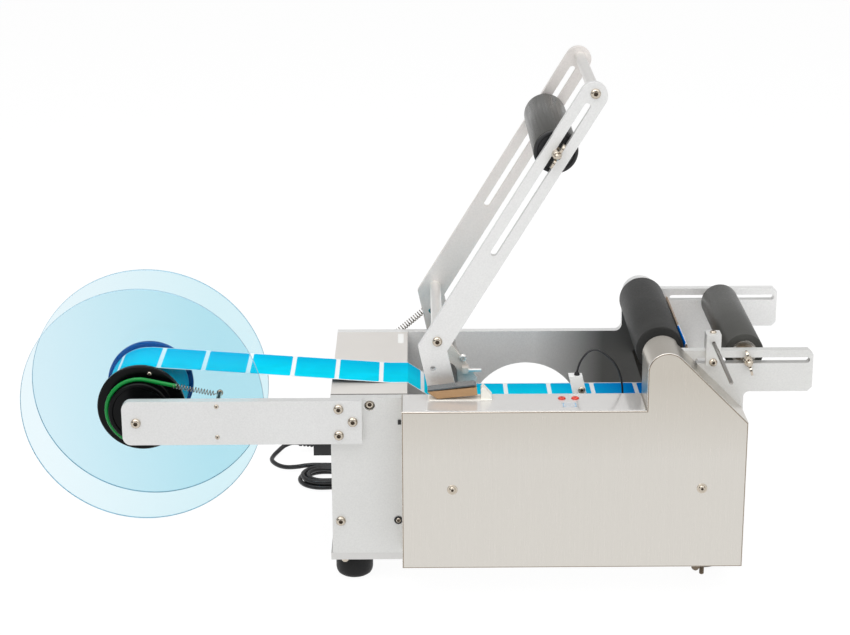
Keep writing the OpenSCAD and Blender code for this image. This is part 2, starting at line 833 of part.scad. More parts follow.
module display_window() color("black") in_frame()
    translate([display_x[0] + display_edge, display_y[0] + display_edge, cover_top])
        cube([
            display_x[1] - display_x[0] - 2 * display_edge,
            display_y[1] - display_y[0] - 2 * display_edge,
            panel_t,
        ]);

module push_button(at) color("red") in_frame() {
    collar_z = cover_top - cover_t - cover_gap - button_collar_t;
    translate([at[0], at[1], collar_z]) {
        cylinder(d = button_collar_d, h = button_collar_t);
        cylinder(d = button_d, h = panel_top + button_rise - collar_z);
    }
}

module left_button() push_button(buttons[0]);

module right_button() push_button(buttons[1]);

// Arm switch on the panel

module tilted_switch(lift_z) {
    translate([switch_x, 0, panel_top + switch_pad_t + gap]) rotate([0, -switch_tilt, 0])
        translate([0, 0, lift_z]) children();
}

module switch_pad() color("white") in_frame() {
    translate([switch_x, -17.5, panel_top]) cube([wedge_x + wedge_l - switch_x, 18, switch_pad_t]);
    slab_y(-14, -2) translate([wedge_x, panel_top + switch_pad_t])
        polygon([[0, 0], [wedge_l, 0], [wedge_l, 3], [2.3, wedge_h], [0, wedge_h - 3]]);
}

module switch_body() color("tan") in_frame() {
    tilted_switch(0) slab_y(switch_y[0], switch_y[1])
        polygon([[switch_bevel, 0], [switch_l, 0], [switch_l, switch_h], [0, switch_h], [0, switch_h - 1]]);
    foot = panel_top + switch_pad_t;
    translate([switch_x + switch_bevel, switch_y[0] + 2, foot])
        cube([1, switch_y[1] - switch_y[0] - 4, gap + 0.6]);
}

module switch_lever() color("dimgray") in_frame() {
    tilted_switch(switch_h + gap) rotate([0, -lever_open, 0]) slab_y(switch_y[0], switch_y[1])
        polygon([[0, 0], [switch_l, 0], [switch_l - 4, lever_t], [0, lever_t]]);
}

// Reel

module reel_bracket() color("silver") in_frame() difference() {
    slab_y(-bracket_t, 0) difference() {
        union() {
            translate([bracket_x0 + bracket_round, bracket_z0])
                square([bracket_x1 - bracket_x0 - bracket_round, bracket_h]);
            translate([bracket_x0, bracket_z0 + bracket_round])
                square([bracket_round + cut, bracket_h - 2 * bracket_round]);
            for (z = [bracket_round, bracket_h - bracket_round])
                translate([bracket_x0 + bracket_round, bracket_z0 + z]) circle(bracket_round);
        }
        for (p = bracket_screws) translate(p) circle(d = m6[0] + 2 * seat);
        for (p = brake_posts) translate(p) circle(d = m3[0] + 2 * seat);
        translate([reel_x, reel_z]) circle(d = m6[0] + 2 * seat);
    }
}

module reel_shaft() color("lightgray") in_frame() {
    c = [reel_x, reel_z];
    end_y = hub_y1 + back_flange_t + gap;
    difference() {
        union() {
            bar_y(c, 0, end_y + 6, reel_shaft_d);
            bar_y(c, 0, drum_y0 - gap, collar_d);
            bar_y(c, end_y, end_y + 6, collar_d);
        }
        bar_y(c, -cut, screw_bite, m6[0] + 2 * seat);
    }
}

module reel_hub() color("black") in_frame() {
    c = [reel_x, reel_z];
    bore = reel_shaft_d + 2 * fit;
    difference() {
        union() {
            bar_y(c, drum_y0, drum_y1, drum_d);
            bar_y(c, drum_y1, disc_y0, flange_d);
            bar_y(c, disc_y0, hub_y1, barrel_d);
        }
        hole_y(c, drum_y0, hub_y1, bore);
        ring_y(c, disc_y0 + hub_wall, hub_y1 + cut, barrel_d - 2 * hub_wall, reel_shaft_d + 2 * hub_wall);
    }
    ring_y(c, hub_y1, hub_y1 + back_flange_t, flange_d, bore);
    for (a = [75, 255])
        translate([reel_x + hub_screw_r * cos(a), drum_y1, reel_z + hub_screw_r * sin(a)])
            rotate([90, 0, 0]) cylinder(d = m3[1], h = m3[2]);
}

module reel_disc(y) color("lightblue", 0.5) in_frame()
    ring_y([reel_x, reel_z], y, y + disc_t, disc_d, barrel_d + 2 * seat);

module front_disc() reel_disc(disc_y0);

module back_disc() reel_disc(disc_y1);

module label_roll() color("deepskyblue") in_frame()
    ring_y([reel_x, reel_z], label_y0, label_y1, roll_d, barrel_d + 2 * seat);

// Label strip: off the roll, over the top sheet, under the guide roller, along the table,
// over the peel plate's edge, and back under the table to the traction roller
module label_strip() color("skyblue") in_frame() {
    half = strip_t / 2 + lift;
    sheet_z = top_z + half;
    sheet_on = [62, sheet_z];
    sheet_off = [cover_x0 + 6.3, sheet_z];
    roll_r = roll_d / 2 + half;
    roll_a = touch_angle(sheet_on, brake_c, roll_r, 1);
    guide_r = guide_d / 2 + half;
    guide_a = touch_angle(sheet_off, guide_at, guide_r, 1);
    side = peel_t / 2 + half;
    edge_r = side;
    under = peel_low + side * [0.9, -1.5];
    pull_r = traction_d / 2 + half;
    pull_a = touch_angle(under, traction_at, pull_r, 1);
    line = concat(
        [brake_c + roll_r * [cos(roll_a), sin(roll_a)], sheet_on, sheet_off],
        arc(guide_at, guide_r, guide_a, 270, 6),
        [
            [table_x[1], strip_z],
            [peel_bend[0] - side, peel_bend[1] + 0.4 * side],
        ],
        arc([peel_x, peel_top], edge_r, 180, 0, 8),
        [[peel_bend[0] + side, peel_bend[1] - 0.4 * side], under],
        arc(traction_at, pull_r, pull_a, 180, 6),
        [[traction_at[0] - pull_r, body_z + 8]]
    );
    slab_y(label_y0, label_y1) polygon(band(line, strip_t));
}

module brake_cord() color("seagreen") in_frame() {
    tube([for (p = brake_line) at_depth(p, brake_y)], brake_cord_d, 8, [0, 1, 0]);
    translate(at_depth(brake_end, brake_y))
        rotate([0, 90 - atan2(brake_dir[1], brake_dir[0]), 0]) cylinder(d = ferrule_d, h = ferrule_l);
}

module brake_spring() color("silver") in_frame() tube(brake_spring_points, brake_spring_wire, 6, [0, 1, 0]);

module spring_posts() color("silver") in_frame() {
    for (p = brake_posts) difference() {
        union() {
            bar_y(p, 0, brake_y + 5, brake_post_d);
            bar_y(p, brake_y + 5, brake_y + 7, brake_post_d + 2);
        }
        bar_y(p, -bracket_t, cut, m3[0]);
    }
    bar_y(spring_post, out_y - plate_t + 1, out_y, m6[0]);
    bar_y(spring_post, out_y, spring_pin_y1 - 2, spring_post_d);
    bar_y(spring_post, spring_pin_y1 - 2, spring_pin_y1, spring_post_d + 3);
}

// Bottle arm

// Outline of an arm: two lengths that meet in a sharp knee, with round ends
module arm_outline() {
    edges = band([pivot, knee, tip], arm_w);
    foot_turn = 90 + arm_lean;
    polygon(concat(
        [edges[1]],
        arc(tip, arm_w / 2, arm_rise + 90, arm_rise - 90, 24),
        [edges[4]],
        arc(pivot, arm_w / 2, foot_turn - 90, foot_turn - 270, 24)
    ));
}

module arm(y0) color("gainsboro") in_frame() slab_y(y0, y0 + arm_t) difference() {
    arm_outline();
    translate(pivot) circle(d = pivot_d + 2 * fit);
    translate(handle_at) circle(d = m6[0] + 2 * seat);
    translate(arm_tie_at) circle(d = m6[0] + 2 * seat);
    translate(arm_pin_at) circle(d = arm_pin_d + 2 * seat);
    slot_outline(knee + arm_slot_0 * arm_d2, knee + arm_slot_1 * arm_d2, arm_slot_w);
}

module front_arm() arm(arm_y0);

module back_arm() arm(arm_y1 - arm_t);

module arm_rods() color("silver") in_frame() for (p = [handle_at, arm_tie_at]) difference() {
    bar_y(p, arm_y0 + arm_t, arm_y1 - arm_t, arm_rod_d);
    bar_y(p, arm_y0, arm_y0 + arm_t + screw_bite, m6[0] + 2 * seat);
    bar_y(p, arm_y1 - arm_t - screw_bite, arm_y1, m6[0] + 2 * seat);
}

module arm_screws() color("lightgray") in_frame() {
    for (p = [handle_at, arm_tie_at]) {
        screw_y(p, arm_y0, 1, m6, arm_t + screw_bite - 2);
        screw_y(p, arm_y1, -1, m6, arm_t + screw_bite - 2);
    }
    bar_y(arm_pin_at, arm_y1 - arm_t, spring_pin_y1 - 2, arm_pin_d);
    bar_y(arm_pin_at, spring_pin_y1 - 2, spring_pin_y1, arm_pin_d + 3);
}

// One bolt at each side plate, so that the label strip passes between the arms
module arm_pivot() color("lightgray") in_frame() for (side = [0, 1])
    translate([0, side * out_y, 0]) mirror([0, side, 0]) {
        bar_y(pivot, -pivot_head_t, 0, pivot_head_d);
        bar_y(pivot, 0, arm_y0 + arm_t + gap, pivot_d);
        bar_y(pivot, inner_y, arm_y0 - gap / 3, pivot_head_d);
        bar_y(pivot, arm_y0 + arm_t + gap, arm_y0 + arm_t + gap + 1.5, pivot_head_d - 2);
    }

module arm_spring() color("silver") in_frame() tube(arm_spring_points, arm_spring_wire, 6, [0, 1, 0]);

// Press roller

press_cap_t = 3;
press_cap_l = 12;
press_wall = 4;

module press_roller() color("dimgray") in_frame()
    ring_y(press_c, roller_y0, roller_y1, press_d, press_d - 2 * press_wall);

module press_caps() color("black") in_frame() for (side = [0, 1])
    translate([0, side * out_y, 0]) mirror([0, side, 0]) difference() {
        union() {
            bar_y(press_c, roller_y0 - press_cap_t, roller_y0, press_d - 1);
            bar_y(press_c, roller_y0, roller_y0 + press_cap_l, press_d - 2 * press_wall - 2 * seat);
        }
        hole_y(press_c, roller_y0 - press_cap_t, roller_y0 + press_cap_l, axle_d + 2 * fit);
    }

module press_axle() color("lightgray") in_frame() {
    bar_y(press_c, arm_y0 - wing_boss_h - 3, arm_y1 + wing_boss_h + 3, axle_d);
    for (side = [0, 1]) translate([0, side * out_y, 0]) mirror([0, side, 0]) {
        wing_nut_y(press_c, arm_y0, -1, axle_d + 2 * seat, 60);
        ring_y(press_c, arm_y0 + arm_t, roller_y0 - press_cap_t - gap, axle_d + 6, axle_d + 2 * seat);
    }
}

// Driven roller, idler and stop

drive_c = [drive_x, drive_z];
idler_c = [idler_x, idler_z];
idler_bearing_d = 27;
idler_bearing_w = 9;

module drive_roller() color("black") in_frame()
    ring_y(drive_c, roller_y0, roller_y1, drive_d, drive_shaft_d + 2 * seat);

module drive_shaft() color("lightgray") in_frame() {
    bar_y(drive_c, belt_y[0] - 2, out_y - 1, drive_shaft_d);
    bar_y(drive_c, belt_y[0], belt_y[0] + belt_w, 2 * pulley_r);
    for (side = [0, 1]) translate([0, side * out_y, 0]) mirror([0, side, 0])
        bar_y(drive_c, inner_y + gap, roller_y0, drive_shaft_d + 5);
}

module drive_bearings() color("silver") in_frame() for (y = [inner_y - bearing_w, back_y])
    ring_y(drive_c, y, y + bearing_w, bearing_d, drive_shaft_d + 2 * fit);

module idler_roller() color("dimgray") in_frame() difference() {
    bar_y(idler_c, roller_y0, roller_y1, idler_d);
    hole_y(idler_c, roller_y0, roller_y1, axle_d + 4);
    for (y = [roller_y0 - cut, roller_y1 - idler_bearing_w])
        bar_y(idler_c, y, y + idler_bearing_w + cut, idler_bearing_d + 2 * seat);
}

module idler_bearings() color("silver") in_frame() for (y = [roller_y0, roller_y1 - idler_bearing_w])
    ring_y(idler_c, y, y + idler_bearing_w, idler_bearing_d, axle_d + 2 * fit);

module idler_axle() color("lightgray") in_frame() {
    bar_y(idler_c, -wing_boss_h - 3, out_y + wing_boss_h + 3, axle_d);
    for (side = [0, 1]) translate([0, side * out_y, 0]) mirror([0, side, 0]) {
        wing_nut_y(idler_c, -stop_gap, -1, axle_d + 2 * seat, 75);
        ring_y(idler_c, inner_y + stop_gap, roller_y0 - gap, axle_d + 5, axle_d + 2 * seat);
    }
}

module stop_block() color("gainsboro") in_frame() difference() {
    y0 = -stop_gap - stop_lip_t;
    union() {
        translate([stop_x[0], y0, slot_arm_z1 - stop_lip_h])
            cube([stop_x[1] - stop_x[0], stop_lip_t, stop_lip_h + stop_gap]);
        translate([stop_x[0], y0, slot_arm_z1 + stop_gap])
            cube([stop_x[1] - stop_x[0], stop_y1 - y0, stop_top - slot_arm_z1 - stop_gap]);
    }
    hole_y([stop_mid, idler_z], y0, 0, stop_clamp_d + 2 * seat);
    hole_y([stop_mid, stop_rod_z], y0, stop_y1, stop_rod_d + 2 * fit);
    translate([stop_mid, plate_t / 2 - 2, stop_rod_z]) cylinder(d = m4[0] + 2 * seat, h = stop_top);
}

module stop_rod() color("lightgray") in_frame()
    bar_y([stop_mid, stop_rod_z], stop_rod_y0, stop_rod_y1, stop_rod_d);

module stop_screws() color("lightgray") in_frame() {
    y0 = -stop_gap - stop_lip_t;
    screw_y([stop_mid, idler_z], y0, 1, [stop_clamp_d, 8.5, 3, 3], plate_t - y0 + clamp_nut_t);
    translate([stop_mid, plate_t + stop_gap, idler_z]) rotate([-90, 0, 0]) difference() {
        cylinder(d = 9.5, h = clamp_nut_t, $fn = 6);
        translate([0, 0, -cut]) cylinder(d = stop_clamp_d + 2 * seat, h = clamp_nut_t + 2 * cut);
    }
    bite = stop_top - stop_rod_z - stop_rod_d / 2 - gap;
    translate([stop_mid, plate_t / 2 - 2, stop_top]) mirror([0, 0, 1]) screw(m4, bite);
}

// Label path

module label_table() color("silver") in_frame() {
    translate([table_x[0], table_y0, table_z - table_t])
        cube([table_x[1] - table_x[0], table_y1 - table_y0, table_t]);
    translate([flange_x[0], inner_y, table_z - table_t])
        cube([flange_x[1] - flange_x[0], table_y0 - inner_y, table_t]);
    translate([flange_x[0], inner_y, table_z - flange_h])
        cube([flange_x[1] - flange_x[0], table_t, flange_h - table_t]);
}

module peel_plate() color("peru") in_frame()
    slab_y(inner_y, back_y) polygon(band([peel_low, peel_bend, [peel_x, peel_top]], peel_t));

module guide_roller() color("black") in_frame()
    ring_y(guide_at, label_y0, label_y1, guide_d, guide_axle_d + 2 * fit);

module guide_bracket() color("silver") in_frame() {
    foot_z = table_z - 10;
    head_z = table_z + 43.5;
    slab_y(table_y1, table_y1 + guide_plate_t)
        polygon([
            [guide_at[0] - 6.5, foot_z], [guide_at[0] + 34.5, foot_z], [guide_at[0] + 34.5, table_z + 6],
            [guide_at[0] + 7.5, head_z], [guide_at[0] - 6.5, head_z],
        ]);
    bar_y(guide_at, label_y0 - gap, table_y1, guide_axle_d);
    bar_y(guide_at, label_y0 - gap - 3, label_y0 - gap, guide_axle_d + 5);
    screw_y([guide_at[0] + 18.8, table_z + 30], table_y1, 1, m5, 1);
    boss_w = 7;
    bolt = [guide_at[0] + 17.8, table_y1 - boss_w / 2, table_z + 16.5];
    translate([bolt[0], table_y1 - boss_w, bolt[2] - boss_w / 2]) cube([boss_w, boss_w, boss_w]);
    translate(bolt) rotate([0, 90, 0]) cylinder(d = 4, h = 21);
}

module label_sensor() color("white") in_frame() {
    slab_y(sensor_y[0], sensor_y[1]) translate([sensor_x, table_z])
        polygon([[0, 0], [sensor_w, 0], [sensor_w - sensor_lean, sensor_h], [-sensor_lean, sensor_h]]);
    screw_y([sensor_x + 4.2, table_z + 24.8], sensor_y[0], 1, m4, 1);
}

module sensor_fibre() color("black") in_frame() tube(fibre_route, fibre_d, 8, [0, 1, 0]);

// Drive and electronics

module motor() color("black") in_frame() difference() {
    translate([motor_at[0] - motor_w / 2, inner_y, motor_at[1] - motor_w / 2]) cube([motor_w, motor_l, motor_w]);
    bar_y(motor_at, inner_y - cut, inner_y + motor_l / 2, motor_shaft_d + 2 * fit);
}

module motor_pulley() color("silver") in_frame() {
    bar_y(motor_at, belt_y[1] - 2, inner_y + motor_l / 2 - gap, motor_shaft_d);
    for (y = belt_y) bar_y(motor_at, y, y + belt_w, 2 * pulley_r);
}

module belt(a, b, y) {
    inner = 2 * (pulley_r + gap);
    slab_y(y, y + belt_w) difference() {
        slot_outline(a, b, inner + 2 * belt_t);
        slot_outline(a, b, inner);
    }
}

module timing_belts() color("black") in_frame() {
    belt(motor_at, drive_c, belt_y[0]);
    belt(motor_at, traction_at, belt_y[1]);
}

module traction_roller() color("dimgray") in_frame() {
    bar_y(traction_at, belt_y[1] - 2, out_y - 1, traction_shaft_d);
    bar_y(traction_at, belt_y[1], belt_y[1] + belt_w, 2 * pulley_r);
    bar_y(traction_at, roller_y0, roller_y1, traction_d);
}

module electronics() color("darkgray") in_frame() {
    deep = electronics_y[1] - electronics_y[0];
    translate([supply_x, electronics_y[0], body_z]) cube([supply_l, deep, supply_h]);
    translate([controller_x, electronics_y[0], body_z]) cube([controller_l, deep, controller_h]);
    board_y = [6 - cover_depth, -4];
    translate([230, board_y[0], board_z]) cube([36, board_y[1] - board_y[0], board_t]);
    tact_top = cover_top - cover_t - cover_gap - button_collar_t - button_travel - cover_gap;
    for (p = buttons) translate([p[0], p[1], board_z + board_t]) cylinder(d = 6, h = tact_top - board_z - board_t);
    translate([display_x[0] + 1.5, display_y[0] + 1.5, board_z + board_t])
        cube([
            display_x[1] - display_x[0] - 3,
            display_y[1] - display_y[0] - 3,
            cover_top - gap - board_z - board_t,
        ]);
    for (x = [234, 262]) translate([x, -19, board_z + board_t])
        cylinder(d = 4, h = cover_top - cover_t - board_z - board_t);
}

// Mains lead

module power_gland() color("black") in_frame() {
    bar_y(gland_at, out_y, out_y + gland_flange_t, 22);
    translate([gland_at[0], out_y + gland_flange_t, gland_at[1]]) rotate([-90, 0, 0])
        cylinder(d1 = 16, d2 = cord_d + 3, h = gland_l - gland_flange_t);
}

module cord_lead() color("black") in_frame() tube(lead_route, cord_d, 8, [1, 0, 0]);

module cord_hank() color("black") in_frame() tube(hank_points, cord_d, 6, [0, 0, 1]);

module cord_tail() color("black") in_frame() tube(tail_route, cord_d, 8, [0, 0, 1]);

module mains_plug() color("black") in_frame() translate(plug_at) {
    rotate([0, 90, 0]) cylinder(d1 = cord_d + 2.5, d2 = cord_d + 6, h = plug_relief_l);
    translate([plug_relief_l, -plug_w / 2, -plug_h / 2]) cube([plug_l, plug_w, plug_h]);
    for (side = [-1, 1]) translate([plug_relief_l + plug_l, side * 9.5, 0]) rotate([0, 90, 0])
        cylinder(d = plug_pin_d, h = plug_pin_l);
}

module cord_tie() color("firebrick") in_frame() {
    half = hank_r0 * waist(0) + cord_d / 2 + gap;
    top = hank_entry[2] + hank_layer + cord_d / 2 + gap;
    translate([hank_c[0] - tie_w / 2, hank_c[1] - half - tie_t, 0]) difference() {
        cube([tie_w, 2 * (half + tie_t), top + tie_t]);
        translate([-cut, tie_t, tie_t]) cube([tie_w + 2 * cut, 2 * half, top - tie_t]);
    }
}

base_plate();
feet();
front_plate();
back_plate();
frame_rods();
fasteners();
top_cover();
front_cover();
control_panel();
display_window();
left_button();
right_button();
reel_bracket();
reel_shaft();
reel_hub();
front_disc();
back_disc();
label_roll();
label_strip();
brake_cord();
brake_spring();
spring_posts();
front_arm();
back_arm();
arm_rods();
arm_screws();
arm_pivot();
arm_spring();
press_roller();
press_caps();
press_axle();
drive_roller();
drive_shaft();
drive_bearings();
idler_roller();
idler_bearings();
idler_axle();
stop_block();
stop_rod();
stop_screws();
label_table();
peel_plate();
guide_roller();
guide_bracket();
label_sensor();
sensor_fibre();
motor();
motor_pulley();
timing_belts();
traction_roller();
electronics();
power_gland();
cord_lead();
cord_hank();
cord_tail();
mains_plug();
cord_tie();
switch_body();
switch_lever();
switch_pad();
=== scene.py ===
"""Looks of the bench labelling machine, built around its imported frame."""
import json
from math import acos, atan2, cos, floor, pi, radians, sin, sqrt

import bmesh
import bpy
from mathutils import Matrix, Vector


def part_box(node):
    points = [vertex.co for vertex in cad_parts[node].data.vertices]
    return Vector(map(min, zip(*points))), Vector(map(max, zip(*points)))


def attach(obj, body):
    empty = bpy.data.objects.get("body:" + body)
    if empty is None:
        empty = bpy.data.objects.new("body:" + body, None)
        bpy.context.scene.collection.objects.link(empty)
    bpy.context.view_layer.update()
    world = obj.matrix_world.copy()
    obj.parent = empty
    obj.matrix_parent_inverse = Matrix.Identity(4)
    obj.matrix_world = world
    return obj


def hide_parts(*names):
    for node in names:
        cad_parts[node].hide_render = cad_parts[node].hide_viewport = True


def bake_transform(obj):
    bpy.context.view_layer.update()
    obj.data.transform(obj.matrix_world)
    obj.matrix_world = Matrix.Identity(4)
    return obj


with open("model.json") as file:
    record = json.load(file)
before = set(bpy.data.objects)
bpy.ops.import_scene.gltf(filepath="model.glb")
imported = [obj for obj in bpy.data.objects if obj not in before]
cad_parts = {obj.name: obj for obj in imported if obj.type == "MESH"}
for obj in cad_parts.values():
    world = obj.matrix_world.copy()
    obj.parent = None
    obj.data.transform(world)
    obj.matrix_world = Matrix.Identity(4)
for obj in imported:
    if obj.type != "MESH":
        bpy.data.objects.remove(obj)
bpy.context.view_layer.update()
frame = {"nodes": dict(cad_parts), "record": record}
scene = bpy.context.scene
scene.view_settings.view_transform = "Standard"

MM = 0.001
FRONT = Vector((0, -1, 0))
BACK = Vector((0, 1, 0))
UP = Vector((0, 0, 1))
DOWN = Vector((0, 0, -1))

# Places are millimetres from the front plate's lower left corner, with heights above the floor
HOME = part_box("front_plate")[0].xy.to_3d()


def at(x, y, z):
    return HOME + Vector((x, y, z)) * MM


def middle(node):
    """Middle of a node's box, in the places' own millimetres."""
    low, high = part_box(node)
    return ((low + high) / 2 - HOME) / MM


def reach(node):
    """Corners of a node's box, in the places' own millimetres."""
    low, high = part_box(node)
    return (low - HOME) / MM, (high - HOME) / MM


def linked(name, data):
    """Object of some data, in the scene."""
    obj = bpy.data.objects.new(name, data)
    scene.collection.objects.link(obj)
    return obj


def polar(angle, r=1.0):
    """Flat vector of length r at an angle."""
    return r * Vector((cos(angle), sin(angle)))


def arc(centre, r, start, end, steps):
    return [centre + polar(start + (end - start) * i / steps, r) for i in range(steps + 1)]


# Axes and depths that many pieces share
reel = middle("front_disc")
drive = middle("drive_roller")
idler = middle("idler_roller")
press = middle("press_roller")
guide = middle("guide_roller")
PLATE_T = 10.0
SEAM_SHADE_WIDTH = 2.6
DRIVE_R = 25.0
GUIDE_R = 12.5
TRACTION_R = 15.0
DRUM_R = 33.0
ROLL_BORE = 37.75
DISC_BORE = 37.8
SHAFT_BORE = 6.05
AXLE_BORE = 3.05
PIVOT_R = 5.0
PIVOT_SLIM = 0.1
OUT_Y = reach("back_plate")[1].y
TOP_Z = reach("top_cover")[1].z
BASE_Z = reach("base_plate")[0].z
BODY_L = 431.5
COVER_FRONT = reach("front_cover")[0].y
BRACKET_FRONT = reach("reel_bracket")[0].y
PANEL_TOP = reach("control_panel")[1].z
TABLE_Z = reach("label_table")[1].z
ARM_Y0 = reach("front_arm")[0].y
ARM_Y1 = reach("back_arm")[1].y

# Bottle arm: pivot, knee and direction of the upper length
ARM_PIVOT = Vector((123.0, TOP_Z - 22.5))
ARM_LEAN = radians(12.35)
ARM_RISE = radians(58.6)
ARM_LOWER = 74.0
ARM_UPPER = 312.0
HANDLE_PAST = 3.0
TIE_UP = 9.6
PIN_DOWN = 21.5
PIN_ASIDE = 4.4
lower_way = Vector((-sin(ARM_LEAN), cos(ARM_LEAN)))
upper_way = polar(ARM_RISE)
knee = ARM_PIVOT + ARM_LOWER * lower_way
arm_handle = knee + (ARM_UPPER + HANDLE_PAST) * upper_way
arm_tie = knee + TIE_UP * upper_way
arm_pin = knee - PIN_DOWN * lower_way + PIN_ASIDE * Vector((-lower_way.y, lower_way.x))


# Camera at the photograph's angle

CAMERA_PLACE = (90.8, -1972.8, 935.3)
CAMERA_TURNS = (0.25, 17.839, -0.245)
SENSOR_WIDE = 36.0
LENS = 85.19


def make_camera():
    yaw, pitch, roll = (radians(a) for a in CAMERA_TURNS)
    ahead = Vector((sin(yaw) * cos(pitch), cos(yaw) * cos(pitch), -sin(pitch)))
    level = Vector((cos(yaw), -sin(yaw), 0))
    over = level.cross(ahead)
    right = level * cos(roll) + over * sin(roll)
    top = over * cos(roll) - level * sin(roll)
    data = bpy.data.cameras.new("camera")
    data.sensor_fit = "HORIZONTAL"
    data.sensor_width = SENSOR_WIDE
    data.lens = LENS
    data.clip_end = 100.0
    turn = Matrix((right, top, -ahead)).transposed()
    scene.camera = linked("camera", data)
    scene.camera.matrix_world = Matrix.Translation(at(*CAMERA_PLACE)) @ turn.to_4x4()


make_camera()


# Colours and finishes

X, Y, Z = range(3)
GRAIN_DEPTH = 0.0002
RING_STEP = 0.7


def srgb(*levels):
    """Linear colour of screen levels from 0 to 255."""
    return [((v / 255 + 0.055) / 1.055) ** 2.4 if v > 10 else v / 255 / 12.92 for v in levels]


def shade(colour, by=1.0):
    return [min(1.0, max(0.0, c * by)) for c in colour] + [1.0]


class Nodes:
    """An owner's node tree, with short calls for the nodes that finishes and light share."""

    def __init__(self, owner):
        owner.use_nodes = True
        self.owner = owner
        self.tree = owner.node_tree

    def feed(self, socket, value):
        """Link a socket to another, or give it a constant."""
        if isinstance(value, bpy.types.NodeSocket):
            self.tree.links.new(value, socket)
        else:
            socket.default_value = value

    def new(self, kind, *feeds, **settings):
        """Node with its settings, and feeds that are pairs of an input and what it takes."""
        node = self.tree.nodes.new("ShaderNode" + kind)
        for key, value in settings.items():
            setattr(node, key, value)
        for key, value in feeds:
            self.feed(node.inputs[key], value)
        return node

    def ranged(self, value, low, high, start=0.25, end=0.75):
        limits = (("From Min", start), ("From Max", end), ("To Min", low), ("To Max", high))
        return self.new("MapRange", ("Value", value), *limits).outputs["Result"]

    def mixed(self, factor, a, b, blend="MIX"):
        feeds = (("Factor", factor), (6, a), (7, b))
        return self.new("Mix", *feeds, data_type="RGBA", blend_type=blend).outputs[2]

    def maths(self, operation, *values):
        return self.new("Math", *enumerate(values), operation=operation).outputs[0]

    def choice(self, factor, a, b):
        """Shader a where the factor is 0, and b where it is 1."""
        return self.new("MixShader", ("Fac", factor), (1, a), (2, b)).outputs[0]


class Surface(Nodes):
    """A material's nodes about its shader."""

    def __init__(self, name):
        super().__init__(bpy.data.materials.new(name))
        self.shader = self.tree.nodes["Principled BSDF"]
        self.coords = self.new("TexCoord").outputs["Object"]

    def noise(self, scale, stretch=(1, 1, 1), detail=4.0):
        spot = self.new("Mapping", ("Vector", self.coords), ("Scale", stretch)).outputs["Vector"]
        return self.new("TexNoise", ("Vector", spot), ("Scale", scale), ("Detail", detail)).outputs["Fac"]

    def place(self, axis):
        return self.new("SeparateXYZ", ("Vector", self.coords)).outputs[axis]

    def bump(self, height, strength):
        feeds = (("Strength", strength), ("Distance", GRAIN_DEPTH), ("Height", height))
        return self.new("Bump", *feeds).outputs["Normal"]

    def set(self, **values):
        for key, value in values.items():
            self.feed(self.shader.inputs[key.replace("_", " ").title().replace("Ior", "IOR")], value)


def finish(name, levels, rough, metal=0.0, tone=0.06, blotch=25.0, wear=0.07, grain=900.0, depth=0.12,
           stretch=(1, 1, 1), speckle=0.0, fades=(), **shader):
    """Finish with cloudy tone, speckle, uneven gloss and a fine grain.

    Each fade is an axis, the places along it where the fade starts and ends, and the colour it ends in.
    """
    look = Surface(name)
    colour = srgb(*levels)
    cloud = look.ranged(look.noise(blotch, stretch), 0, 1)
    base = look.mixed(cloud, shade(colour, 1 - tone), shade(colour, 1 + tone))
    for axis, start, end, other in fades:
        ends = [at(spot, spot, spot)[axis] for spot in (start, end)]
        base = look.mixed(look.ranged(look.place(axis), 0, 1, *ends), base, shade(srgb(*other)))
    fine = look.noise(grain, stretch, 2.0)
    if speckle:
        dots = look.mixed(look.ranged(fine, 0, 1), shade((1, 1, 1), 1 - speckle), shade((1, 1, 1)))
        base = look.mixed(1.0, base, dots, "MULTIPLY")
    gloss = look.ranged(fine, max(0.02, rough - wear), rough + wear)
    look.set(base_color=base, roughness=gloss, normal=look.bump(fine, depth), metallic=metal, **shader)
    return look.owner


def clear_sheet(name, colour, pale, start, end):
    """Clear tinted plastic that lets the lamps' light through, with painted shade: paler towards the start
    along X.
    """
    look = Surface(name)
    share = look.ranged(look.place(X), 0, 1, start, end)
    look.set(base_color=look.mixed(share, shade(pale), shade(colour)),
             roughness=look.ranged(look.noise(60.0), 0.0, 0.03), transmission_weight=1.0, ior=1.2)
    shadow = look.new("LightPath").outputs["Is Shadow Ray"]
    through = look.new("BsdfTransparent", ("Color", shade(colour))).outputs["BSDF"]
    both = look.choice(shadow, look.shader.outputs["BSDF"], through)
    look.feed(look.tree.nodes["Material Output"].inputs["Surface"], both)
    return look.owner


def wound_sides(name, paper, film):
    """Ends of the label roll: thin rings of liner and label about the reel's axis."""
    look = Surface(name)
    offset = look.new("VectorMath", (0, look.coords), (1, at(*reel)), operation="SUBTRACT").outputs["Vector"]
    across = look.new("VectorMath", (0, offset), (1, (1, 0, 1)), operation="MULTIPLY").outputs["Vector"]
    far = look.new("VectorMath", (0, across), operation="LENGTH").outputs["Value"]
    rings = look.maths("SINE", look.maths("MULTIPLY", far, 2 * pi / (RING_STEP * MM)))
    share = look.ranged(rings, 0, 1, -0.4, 0.9)
    look.set(base_color=look.mixed(share, shade(srgb(*film)), shade(srgb(*paper))),
             roughness=look.ranged(look.noise(300.0), 0.45, 0.65), normal=look.bump(share, 0.3))
    return look.owner


